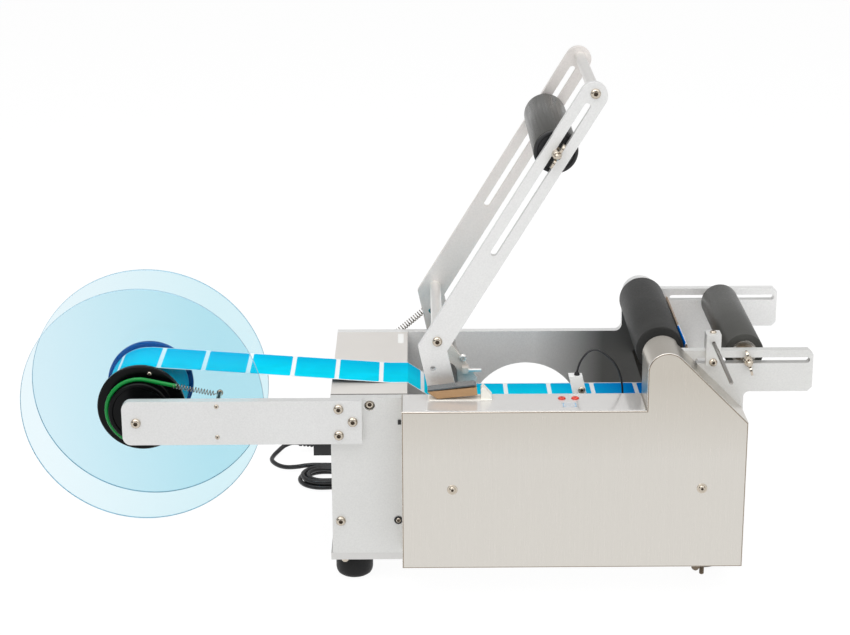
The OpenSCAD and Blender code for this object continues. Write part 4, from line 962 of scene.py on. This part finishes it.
def make_hub():
    end = reach("reel_hub")[1].y
    flange_y = 36.0
    back_y = end - 6
    drum = [(SHAFT_BORE, 20), (12, 20), (12.5, 21.5), (28, 21.5), (29, 20), (32, 20), (DRUM_R, 21),
            (DRUM_R, 35)]
    front_flange = [(34, flange_y), (45.8, flange_y), (47, 37.2), (47, 41), (46, 42), (37.7, 42)]
    back_flange = [(37.7, back_y), (46, back_y), (47, back_y + 1), (47, end - 1.2), (45.8, end), (24, end),
                   (23, end - 2), (14, end - 2), (13, end), (SHAFT_BORE, end)]
    profile = drum + front_flange + back_flange
    turned("hub_turned", "reel_hub", "reel", "hub_black", hub_black, reel, profile, 96)
    bm = bmesh.new()
    for angle in (75, 255):
        way = polar(radians(angle), HUB_SCREW_R)
        screw_y(bm, reel.x + way.x, flange_y, reel.z + way.y, FRONT, HUB_SCREW)
    piece("hub_screws", bm, screw_set, "reel", "screw_steel")


def make_disc(node):
    low, high = reach(node)
    bm = bmesh.new()
    r = (high.z - low.z) / 2
    rim = [(r - 0.4, low.y), (r, low.y + 0.4), (r, high.y - 0.4), (r - 0.4, high.y)]
    lathe_y(bm, reel, [(DISC_BORE, low.y)] + rim + [(DISC_BORE, high.y)], 192)
    axis = at(reel.x, 0, reel.z)
    colour_faces(bm, 1, lambda face: (face.calc_center_median() - axis).xz.length > (r - 0.3) * MM)
    piece(node + "_sheet", bm, [disc_clear, disc_edge], "reel", "disc_clear", node, angle=20)


# Label strip: the liner's line in the X and Z plane, from the roll to the traction roller

STRIP_T = 0.3
LIFT = 0.1
LINER_T = 0.14
PITCH = 47.4
LABEL_GAP = 4.6
LABEL_MARGIN = 1.5
half = STRIP_T / 2 + LIFT
label_low, label_high = reach("label_roll")
ROLL_R = (label_high.z - label_low.z) / 2
PEEL_TOP = reach("peel_plate")[1].z
PEEL_X = drive.x + DRIVE_R + 5.6
PEEL_T = 2.0
TABLE_X1 = reach("label_table")[1].x
TRACTION = Vector((120.0, 75.0))
LINER_END_Z = 44.5
FIRST_GAP_X = 5.1
TABLE_GAP_X = 140.1


def flat(v):
    return Vector((v.x, v.z))


def touch(point, centre, r, side):
    """Angle at a circle's middle where a tangent from a point meets it."""
    v = point - centre
    return atan2(v.y, v.x) + side * acos(r / v.length)


sheet_on = Vector((62.0, TOP_Z + half))
sheet_off = Vector((80.8, TOP_Z + half))
roll_turn = touch(sheet_on, flat(reel), ROLL_R + half, 1)
guide_turn = touch(sheet_off, flat(guide), GUIDE_R + half, 1)
peel_side = PEEL_T / 2 + half
peel_bend = Vector((PEEL_X, TOP_Z + 14))
peel_under = Vector((TABLE_X1 + 1.5, TABLE_Z - 1)) + peel_side * Vector((0.9, -1.5))
pull_turn = touch(peel_under, TRACTION, TRACTION_R + half, 1)
roll_off = flat(reel) + polar(roll_turn, ROLL_R + half)
run_out = [roll_off, sheet_on, sheet_off]
run_out += arc(flat(guide), GUIDE_R + half, guide_turn % (2 * pi), 1.5 * pi, 14)
run_out += [Vector((TABLE_X1, TABLE_Z + half)), peel_bend + peel_side * Vector((-1, 0.4))]
run_out += arc(Vector((PEEL_X, PEEL_TOP)), peel_side, pi, pi / 2, 6)
run_back = arc(Vector((PEEL_X, PEEL_TOP)), peel_side, pi / 2, 0, 6)
run_back += [peel_bend + peel_side * Vector((1, -0.4)), peel_under]
run_back += arc(TRACTION, TRACTION_R + half, pull_turn, pi, 12)
run_back += [Vector((TRACTION.x - TRACTION_R - half, LINER_END_Z))]


class Run:
    """Line in the X and Z plane that gives a place and its upper side at a distance along it."""

    def __init__(self, points):
        self.points = [p for i, p in enumerate(points) if i == 0 or (p - points[i - 1]).length > 1e-6]
        self.marks = [0.0]
        for a, b in zip(self.points, self.points[1:]):
            self.marks.append(self.marks[-1] + (b - a).length)

    def at(self, far):
        far = min(max(far, 0.0), self.marks[-1])
        i = max(k for k in range(len(self.marks) - 1) if self.marks[k] <= far)
        way = (self.points[i + 1] - self.points[i]).normalized()
        return self.points[i] + way * (far - self.marks[i]), Vector((-way.y, way.x))

    def mitred(self, far):
        """Place and upper side, with the side halved at the line's corners."""
        point, side = self.at(far)
        if any(abs(far - m) < 1e-6 for m in self.marks[1:-1]):
            before = self.at(far - 1e-3)[1]
            side = (before + side) / (1 + before.dot(side))
        return point, side

    def mark_of(self, x, first, last):
        """Distance along the line where it first reaches x, between two of its marks."""
        for i in range(first, last):
            a, b = self.points[i].x, self.points[i + 1].x
            if min(a, b) <= x <= max(a, b) and a != b:
                return self.marks[i] + (x - a) / (b - a) * (self.marks[i + 1] - self.marks[i])
        raise ValueError(f"the strip never passes x = {x}")


def ribbon(bm, spot, marks, edges, low, high, material=0):
    """Closed thin strip: at each mark it spans edges(mark) in depth, from low to high off the line."""
    rings = []
    for mark in marks:
        point, side = spot(mark)
        y0, y1 = edges(mark)
        corners = [(point + side * h, y) for h, y in ((low, y0), (low, y1), (high, y1), (high, y0))]
        rings.append([bm.verts.new(at(p.x, y, p.y)) for p, y in corners])
    skin(bm, rings, material)


def label_patch(bm, spot, start, end, kinks, open_start):
    """One label with round corners on the liner, between two distances; an open start has none."""
    y0, y1 = label_low.y + LABEL_MARGIN, label_high.y - LABEL_MARGIN
    corner = 2.2

    def edges(mark):
        near = min(corner if open_start else mark - start, end - mark, corner)
        inset = corner - sqrt(max(0.0, corner ** 2 - (corner - near) ** 2))
        return y0 + inset, y1 - inset

    rounds = [corner * (1 - cos(pi / 2 * i / 5)) for i in range(6)]
    marks = [start + r for r in rounds] + [end - r for r in rounds]
    steps = int((end - start - 2 * corner) / 2.5)
    marks += [start + corner + (end - start - 2 * corner) * i / steps for i in range(1, steps)]
    marks += [k for k in kinks if start < k < end]
    ribbon(bm, spot, sorted(set(marks)), edges, LINER_T - STRIP_T / 2 + 0.02, STRIP_T / 2, 1)


def make_strip():
    run = Run(run_out + run_back[1:])
    out_end = Run(run_out).marks[-1]
    bm = bmesh.new()
    low = -STRIP_T / 2
    ribbon(bm, run.mitred, run.marks, lambda m: (label_low.y, label_high.y), low, low + LINER_T)
    bm.normal_update()
    # Faces on the underside take the dark liner, painted shade for the strip's shadow on the sheet
    colour_faces(bm, 2, lambda face: face.normal.z < -0.3)
    first_gap = run.mark_of(FIRST_GAP_X, 0, 2)
    table_gap = run.mark_of(TABLE_GAP_X, 3, len(run_out) - 1)
    gaps = [first_gap + k * PITCH for k in range(-4, 3)] + [table_gap + k * PITCH for k in range(6)]
    gaps = [-LABEL_GAP / 2] + [g for g in gaps if 0 < g < out_end]
    for a, b in zip(gaps, gaps[1:] + [out_end + LABEL_GAP / 2]):
        start, end = a + LABEL_GAP / 2, b - LABEL_GAP / 2
        if end - start > 5:
            label_patch(bm, run.mitred, start, end, run.marks, a < 0)
    piece("label_web", bm, [liner, label_blue, liner_underside_shade], "frame", "label_blue", "label_strip", angle=25)
    return gaps[1]


def make_roll(first_gap):
    bm = bmesh.new()
    y0, y1 = label_low.y, label_high.y
    outer = ROLL_R - STRIP_T + LINER_T
    lathe_y(bm, reel, [(ROLL_BORE, y0), (outer, y0), (outer, y1), (ROLL_BORE, y1)], 128)
    middle_y = at(0, (y0 + y1) / 2, 0).y
    colour_faces(bm, 2, lambda face: abs(face.normal.y) > 0.9
                 or abs(face.calc_center_median().y - middle_y) > 30 * MM)

    def spot(mark):
        way = polar(roll_turn + mark / ROLL_R)
        return flat(reel) + (ROLL_R - STRIP_T / 2) * way, way

    marks = [-LABEL_GAP / 2] + [k * PITCH - first_gap for k in range(1, 5)] + [2 * pi * ROLL_R]
    for a, b in zip(marks, marks[1:]):
        label_patch(bm, spot, a + LABEL_GAP / 2, b - LABEL_GAP / 2, [], a < 0)
    papers = [liner, label_blue, roll_sides]
    piece("label_roll_wound", bm, papers, "reel", "label_blue", "label_roll", angle=30)


# Brake: cord round the drum from the lower post, and the spring from its end to the upper post

AIR = 0.3
BRAKE_Y = 26.6
BRAKE_CORD_D = 4.5
BRAKE_R = DRUM_R + AIR + BRAKE_CORD_D / 2
BRAKE_RUN = 33.0
BRAKE_GRIP = 7.0
BRAKE_WIRE = 0.9
POST_R = 2.5
CURL_STEPS = 20
HOOK_STEPS = 8


def upright(p, y):
    return at(p.x, y, p.y)


def spring_line(a, b, y, outer, wire, curls, hook):
    """Points of a spring from a to b in a plane across Y, with a hook round the post at each end."""
    way = (b - a).normalized()
    cross = Vector((-way.y, way.x))
    r = (outer - wire) / 2
    lead = 2.2 * wire
    length = (b - a).length - 2 * lead
    points = []
    for i in range(HOOK_STEPS + 1):
        t = pi * 1.25 * (1 - i / HOOK_STEPS)
        points.append((a - (hook + AIR) * way + hook * (cos(t) * -way + sin(t) * cross), y))
    steps = CURL_STEPS * curls
    for i in range(steps + 1):
        f = i / steps
        turn = 2 * pi * i / CURL_STEPS
        wide = r * min(1.0, min(i, steps - i) / 14 + 0.12)
        spot = a + (lead + f * length) * way + wide * sin(turn) * cross
        points.append((spot, y + wide * cos(turn)))
    for i in range(HOOK_STEPS + 1):
        t = pi * (1 - 1.25 * i / HOOK_STEPS)
        points.append((b + (hook + AIR) * way + hook * (cos(t) * way + sin(t) * cross), y))
    return [upright(p, depth) for p, depth in points]


def make_brake():
    low_post, high_post = Vector(BRAKE_POSTS[1]), Vector(BRAKE_POSTS[0])
    start = touch(low_post, flat(reel), BRAKE_R, -1)
    end = touch(high_post, flat(reel), BRAKE_R, 1) - 2 * pi
    wrap = arc(flat(reel), BRAKE_R, start, end, 72)
    way = (high_post - wrap[-1]).normalized()
    first = low_post + (POST_R + AIR) * (wrap[0] - low_post).normalized()
    last = wrap[-1] + BRAKE_RUN * way
    run = [first.lerp(wrap[0], i / 10) for i in range(10)] + wrap
    run += [wrap[-1].lerp(last, i / 6) for i in range(1, 7)]
    bm = bmesh.new()
    tube(bm, [upright(p, BRAKE_Y) for p in run], BRAKE_CORD_D / 2, 16)
    piece("brake_cord_round", bm, cord_green, "frame", "cord_green", "brake_cord")
    spring_a = last - BRAKE_GRIP * way
    spring_b = high_post - (POST_R + AIR) * way
    bm = bmesh.new()
    coil = spring_line(spring_a, spring_b, BRAKE_Y, outer=6.2, wire=BRAKE_WIRE, curls=15, hook=1.6)
    tube(bm, coil, BRAKE_WIRE / 2, 8)
    piece("brake_spring_coil", bm, spring_steel, "frame", "spring_steel", "brake_spring")


dress("reel_bracket", bracket_alu, "bracket_alu", 0.6)
dress("reel_shaft", steel, "steel", 0.4)
dress("spring_posts", chrome, "steel", 0.35)
make_hub()
make_disc("front_disc")
make_disc("back_disc")
make_roll(make_strip())
make_brake()


# Bottle arm

SPRING_POST = Vector((45.0, TOP_Z - 25.5))
SPRING_Y = OUT_Y + 6
ARM_WIRE = 1.3
PIN_Y1 = SPRING_Y + 6
PIN_R = 3.0


def make_arm_screws():
    bm = bmesh.new()
    for p in (arm_handle, arm_tie):
        screw_y(bm, p.x, ARM_Y0, p.y, FRONT, M6)
        screw_y(bm, p.x, ARM_Y1, p.y, BACK, M6)
    pin = [(0, ARM_Y1 - 8), (PIN_R, ARM_Y1 - 8), (PIN_R, PIN_Y1 - 2.4), (4.3, PIN_Y1 - 2),
           (4.5, PIN_Y1 - 1.6), (4.5, PIN_Y1 - 0.5), (4.0, PIN_Y1), (0, PIN_Y1)]
    lathe_y(bm, Vector((arm_pin.x, 0, arm_pin.y)), pin, 36, closed=False)
    piece("arm_screw_set", bm, screw_set, "arm", "screw_steel", "arm_screws")


def make_arm_pivot():
    """Pivot bolts, slimmed a little so that the facets of their bores turn clear of them."""
    bm = node_mesh("arm_pivot")
    axis = middle("arm_pivot")
    for vert in bm.verts:
        off = vert.co - at(axis.x, 0, axis.z)
        off.y = 0
        if off.length < (PIVOT_R + 0.1) * MM:
            vert.co -= off * PIVOT_SLIM / PIVOT_R
    soften(bm, 0.5)
    finished("arm_pivot", bm, chrome, "screw_steel", even=False)


def make_arm_spring():
    way = (arm_pin - SPRING_POST).normalized()
    a = SPRING_POST + (PIN_R + AIR) * way
    b = arm_pin - (PIN_R + AIR) * way
    bm = bmesh.new()
    coil = spring_line(a, b, SPRING_Y, outer=8.0, wire=ARM_WIRE, curls=22, hook=3.4)
    tube(bm, coil, ARM_WIRE / 2, 8)
    spring = made("arm_spring_coil", bm, spring_steel)
    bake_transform(spring)
    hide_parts("arm_spring")


dress("front_arm", arm_alu, "plate_alu", 0.5)
dress("back_arm", back_arm_alu, "plate_alu", 0.5)
dress("arm_rods", rod_steel, "steel", 0.5)
make_arm_pivot()
make_arm_screws()
make_arm_spring()


# Rollers

def sleeve(node, slot, material, r0, r1, edge, steps):
    """Roller's sleeve with round edges, on a body of the roller's name."""
    low, high = reach(node)
    profile = eased(r0, r1, low.y, high.y, edge)
    turned(node + "_sleeve", node, node, slot, material, middle(node), profile, steps)


def make_press_caps():
    low, high = reach("press_roller")
    bm = bmesh.new()
    cap = [(AXLE_BORE, -12), (18.9, -12), (18.9, 0), (22.5, 0), (22.5, 2), (21.6, 3), (19.5, 3), (18.5, 2),
           (10, 1.6), (9, 3), (AXLE_BORE, 3)]
    for y, way in ((low.y, FRONT), (high.y, BACK)):
        lathe(bm, facing(at(press.x, y, press.z), way), cap, 72, closed=True)
    piece("press_roller_caps", bm, plastic_black, "press_roller", "plastic_black", "press_caps")


def wing_axle(name, node, body, axis, seats, turns):
    """Threaded axle with a wing nut and a spacer at each end.

    Seats are the front nut's depth, the front spacer's two depths and the spacers' diameter.
    """
    low, high = reach(node)
    bm = bmesh.new()
    nut_y, spacer_y0, spacer_y1, spacer_d = seats
    mid = (low.y + high.y) / 2
    lathe_y(bm, axis, [(0, nut_y), (3, nut_y), (3, 2 * mid - nut_y), (0, 2 * mid - nut_y)], 32, closed=False)
    for way, side, turn in ((FRONT, -1, turns[0]), (BACK, 1, turns[1])):
        seat = mid + side * (mid - nut_y)
        threaded(bm, facing(at(axis.x, seat, axis.z), way), 3.0, high.y - mid - (mid - nut_y))
        wing_nut(bm, facing(at(axis.x, seat, axis.z), way, turn))
        y0, y1 = sorted((mid + side * (mid - spacer_y0), mid + side * (mid - spacer_y1)))
        lathe_y(bm, axis, eased(3.02, spacer_d / 2, y0, y1, 0.3, 2), 36)
    piece(name, bm, chrome, body, "screw_steel", node)


def make_idler():
    low, high = reach("idler_roller")
    r = (high.z - low.z) / 2
    y0, y1 = low.y, high.y
    seat, wide = 13.52, 9
    front = [(5, wide), (seat, wide), (seat, 0), (r - 1.2, 0), (r - 0.35, 0.35), (r, 1.2)]
    profile = [(x, y0 + y) for x, y in front] + [(x, y1 - y) for x, y in front[::-1]]
    turned("idler_sleeve", "idler_roller", "idler", "rubber_grey", roller_grey, idler, profile, 96)
    bearing("idler_bearing_pair", "idler_bearings", "idler", idler, [y0, y1 - wide], wide, 13.5, AXLE_BORE)


def bearing(name, node, body, axis, seats, wide, r, bore):
    """Ball bearings with steel rings and a dark seal between them."""
    bm = bmesh.new()
    for y in seats:
        lathe_y(bm, axis, eased(r - 3, r, y, y + wide, 0.4, 2), 64)
        lathe_y(bm, axis, eased(bore, bore + 2.6, y, y + wide, 0.4, 2), 48)
        lathe_y(bm, axis, [(bore + 2.6, y + 0.5), (r - 3, y + 0.5), (r - 3, y + wide - 0.5),
                           (bore + 2.6, y + wide - 0.5)], 48, 1)
    piece(name, bm, [steel, bearing_shield], body, "steel", node)


def make_guide_bracket():
    """Plate with its boss, and a polished screw and stud in front of it."""
    bm = node_mesh("guide_bracket")
    soften(bm, 0.4)
    plate_front = at(0, reach("label_table")[1].y, 0).y
    stud_start, screw_low = at(guide.x + 24.9, 0, 0).x, at(0, 0, TABLE_Z + 25).z

    def polished(face):
        spot = face.calc_center_median()
        return spot.y < plate_front - 0.3 * MM and (spot.x > stud_start or spot.z > screw_low)

    colour_faces(bm, 1, polished)
    finished("guide_bracket", bm, [guide_alu, rod_steel], "bracket_alu", even=False)


sleeve("press_roller", "rubber_grey", press_grey, 19, 23, 1.0, 96)
make_press_caps()
press_seats = (ARM_Y0, ARM_Y0 + 8, 21.7, 12)
wing_axle("press_axle_threaded", "press_axle", "press_carriage", press, press_seats, (60, 60))
make_idler()
wing_axle("idler_axle_threaded", "idler_axle", "idler_carriage", idler, (-0.2, 10.2, 24.7, 11), (105, 15))
sleeve("drive_roller", "rubber_black", drive_rubber, SHAFT_BORE, DRIVE_R, 1.2, 96)
dress("drive_shaft", steel, "steel", 0.4)
DRIVE_BEARING_W = 8
drive_seats = [PLATE_T - DRIVE_BEARING_W, OUT_Y - PLATE_T]
bearing("drive_bearing_pair", "drive_bearings", "frame", drive, drive_seats, DRIVE_BEARING_W, 14, SHAFT_BORE)
sleeve("guide_roller", "plastic_black", plastic_black, 4.05, GUIDE_R, 0.8, 72)


# Bottle stop

def make_stop():
    dress("stop_block", alu, "plate_alu", 0.5)
    low, high = reach("stop_rod")
    spot = middle("stop_rod")
    profile = [(0, low.y), (1.2, low.y), (1.75, low.y + 0.3), (2, low.y + 1), (2, high.y - 0.6),
               (1.6, high.y), (0, high.y)]
    turned("stop_rod_turned", "stop_rod", "stop_rod", "steel", stop_rod_shaded_steel, spot, profile, 32, closed=False)
    block_low, block_high = reach("stop_block")
    bm = bmesh.new()
    screw_y(bm, spot.x, block_low.y, idler.z, FRONT, CLAMP)
    shank = [(0, block_low.y), (2.5, block_low.y), (2.5, 14), (2, 14.6), (0, 14.6)]
    lathe_y(bm, Vector((spot.x, 0, idler.z)), shank, 28, closed=False)
    nut = [(2.5, 0), (4.5, 0), (4.75, 0.3, True), (4.75, 3.7, True), (4.5, 4), (2.5, 4)]
    lathe(bm, facing(at(spot.x, PLATE_T + 0.2, idler.z), BACK), nut, 36, closed=True)
    screw_head(bm, facing(at(spot.x, PLATE_T / 2 - 2, block_high.z), UP), M4)
    piece("stop_screw_set", bm, screw_set, "stop", "screw_steel", "stop_screws")


make_stop()


# Label path: table, peel plate, guide bracket and sensor

SENSOR_LEAN = 9.4
SENSOR_L = 14.5
SENSOR_DEEP = 12.5
SENSOR_SCREW = (7.6, 2.2, 2.5)


def make_sensor():
    bm = bmesh.new()
    corner = Matrix.Translation(at(SENSOR_X, sensor_high.y, TABLE_Z))
    upright_place = corner @ Matrix.Rotation(pi / 2, 4, "X")
    outline = [(0, 0), (SENSOR_L, 0), (SENSOR_L - SENSOR_LEAN, SENSOR_H), (-SENSOR_LEAN, SENSOR_H)]
    slab(bm, upright_place, outline, 0, SENSOR_DEEP)
    soften(bm, 0.9, 3)
    piece("sensor_body", bm, sensor_white, "frame", "sensor_white", "label_sensor")
    bm = bmesh.new()
    screw_y(bm, SENSOR_X + 4.2, 21.5, TABLE_Z + 24.8, FRONT, SENSOR_SCREW)
    piece("sensor_screw", bm, screw_set, "frame", "screw_steel")
    bm = bmesh.new()
    top = [(1.1, 0), (3, 0), (3, 1.2), (2.2, 3.2), (1.1, 3.4)]
    foot = [(1.1, 0.1), (3.4, 0.1), (3.4, 1), (2.4, 3.6), (1.1, 3.8)]
    for end, profile in ((fibre_line[0], top), (fibre_line[-1], foot)):
        lathe(bm, facing(at(*end), UP), profile, 28, closed=True)
    piece("fibre_collars", bm, plastic_black, "frame", "plastic_black")


dress("label_table", sheet_white, "sheet_white", 0.3)
dress("peel_plate", peel_brown, "peel_brown", 0.25)
make_guide_bracket()
make_sensor()


# Drive and electronics inside

dress("motor", motor_black, "motor_black", 1.2, 3)
dress("motor_pulley", steel, "steel", 0.4)
dress("traction_roller", roller_grey, "rubber_grey", 0.5)
dress("electronics", case_grey, "case_grey", 0.8)
paint("timing_belts", belt_black)


# Gland, plug and tie of the mains lead

def ribs(count, start, step, r, growth, cut, lengths):
    """Profile of a cord relief's ribs, with a cut after each."""
    rib, slope, end = lengths
    profile = []
    for i in range(count):
        z = start + i * step
        wide = r + i * growth
        profile += [(wide, z), (wide, z + rib), (wide - cut, z + slope), (wide - cut, z + end)]
    return profile


def make_gland():
    low, high = reach("power_gland")
    spot = middle("power_gland")
    deep = high.y - low.y
    bm = bmesh.new()
    place = facing(at(spot.x, low.y, spot.z), BACK)
    profile = [(CORD_D / 2, 0), (10.5, 0), (11, 0.5), (11, 3.5), (10.5, 4), (8, 4, True)]
    profile += ribs(5, 6, 5, 7.6, -0.75, 1.1, (2.6, 3.1, 4.5))
    profile += [(4.2, deep - 1), (3.6, deep), (CORD_D / 2, deep)]
    lathe(bm, place, profile, 48, closed=True)
    return piece("gland_relief", bm, plastic_black, "frame", "plastic_black", "power_gland")


def make_plug():
    low, high = reach("mains_plug")
    spot = middle("mains_plug")
    relief, body_l, pin_l = 19.0, 36.0, 19.0
    bm = bmesh.new()
    x0 = low.x + relief
    block(bm, (x0, low.y, low.z), (x0 + body_l, high.y, high.z))
    soften(bm, 5.5, 4)
    place = facing(at(low.x, spot.y, spot.z), Vector((1, 0, 0)))
    profile = [(CORD_D / 2, 0), (3.6, 0), (4, 0.6)]
    profile += ribs(4, 1.5, 4.4, 4.1, 0.45, 0.9, (2.3, 2.8, 3.9))
    profile += [(5.6, relief), (5.6, relief + 2), (CORD_D / 2, relief + 2)]
    lathe(bm, place, profile, 40, closed=True)
    for side in (-9.5, 9.5):
        stem = facing(at(x0 + body_l - 0.5, spot.y + side, spot.z), Vector((1, 0, 0)))
        lathe(bm, stem, [(0, 0), (2.4, 0), (2.4, 9.5), (0, 9.5)], 28)
        lathe(bm, stem, [(0, 9.5), (2.3, 9.5), (2.3, pin_l - 1.2), (1.7, pin_l), (0, pin_l + 0.5)], 28, 1)
    return piece("plug_moulded", bm, [plastic_black, pin_brass], "frame", "plastic_black", "mains_plug")


gland = make_gland()
plug = make_plug()
tie = dress("cord_tie", tie_red, "tie_red", 0.3)


# Floor, light and background

WHITE = (1, 1, 1, 1)
FLOOR_HALF = 15.0
FLOOR_PALE = (0.78, 0.78, 0.78, 1)
FLOOR_SHADED = (0.1, 0.1, 0.1, 1)
FLOOR_GLOW = 0.94
SOFT_LIGHT = 0.46
ROOM_DIM = 0.12
TARGET = (0.0, 0.0, 0.2)


def ray_kinds(nodes):
    """Factors that are one for the rays that see the background as it is, and for glossy rays."""
    path = nodes.new("LightPath").outputs
    return nodes.maths("MAXIMUM", path["Is Camera Ray"], path["Is Transmission Ray"]), path["Is Glossy Ray"]


def make_world():
    world = bpy.data.worlds.new("studio")
    scene.world = world
    sky = Nodes(world)
    sky.tree.nodes.clear()
    seen, glossy = ray_kinds(sky)
    parts = sky.new("SeparateXYZ", (0, sky.new("TexCoord").outputs["Generated"])).outputs
    # The room behind the camera is dim below the lamps, so that polished steel shows dark and light
    level = sky.ranged(parts["Z"], 0.78, 0.62, 0.3, 0.9)
    low_half = sky.ranged(parts["Z"], 1.0, 0.0, 0.35, 0.6)
    front_half = sky.ranged(parts["Y"], 1.0, 0.0, -0.35, 0.0)
    dim = sky.maths("MULTIPLY", low_half, front_half)
    room = sky.new("Mix", ("Factor", dim), ("A", level), ("B", ROOM_DIM)).outputs["Result"]
    soft = sky.new("Background", ("Strength", SOFT_LIGHT)).outputs[0]
    mirror = sky.new("Background", ("Strength", room)).outputs[0]
    white = sky.new("Background", ("Color", WHITE), ("Strength", 1.0)).outputs[0]
    sky.new("OutputWorld", ("Surface", sky.choice(seen, sky.choice(glossy, soft, mirror), white)))


def make_floor():
    side = FLOOR_HALF
    corners = [(-side, -side, 0), (side, -side, 0), (side, side, 0), (-side, side, 0)]
    mesh = bpy.data.meshes.new("floor")
    mesh.from_pydata(corners, [], [(0, 1, 2, 3)])
    plane = linked("floor", mesh)
    ground = Nodes(bpy.data.materials.new("floor_pale"))
    ground.tree.nodes.clear()
    clear = ground.maths("MAXIMUM", *ray_kinds(ground))
    plain = ground.new("BsdfDiffuse", ("Color", FLOOR_PALE)).outputs[0]
    shaded = ground.new("BsdfDiffuse", ("Color", FLOOR_SHADED)).outputs[0]
    lit = ground.new("Emission", ("Strength", FLOOR_GLOW)).outputs[0]
    bright = ground.new("AddShader", (0, shaded), (1, lit)).outputs[0]
    ground.new("OutputMaterial", ("Surface", ground.choice(clear, plain, bright)))
    mesh.materials.append(ground.owner)


def make_lamp(name, place, size, power):
    data = bpy.data.lights.new(name, "AREA")
    data.shape = "DISK"
    data.size = size
    data.energy = power
    lamp = linked(name, data)
    lamp.location = place
    lamp.rotation_euler = (Vector(TARGET) - Vector(place)).to_track_quat("-Z", "Y").to_euler()


make_world()
make_floor()
make_lamp("key", (-0.9, -1.3, 2.2), 3.2, 40)
make_lamp("top", (0.3, -0.3, 2.5), 4.0, 36)
make_lamp("fill", (1.6, -1.4, 1.2), 2.4, 12)
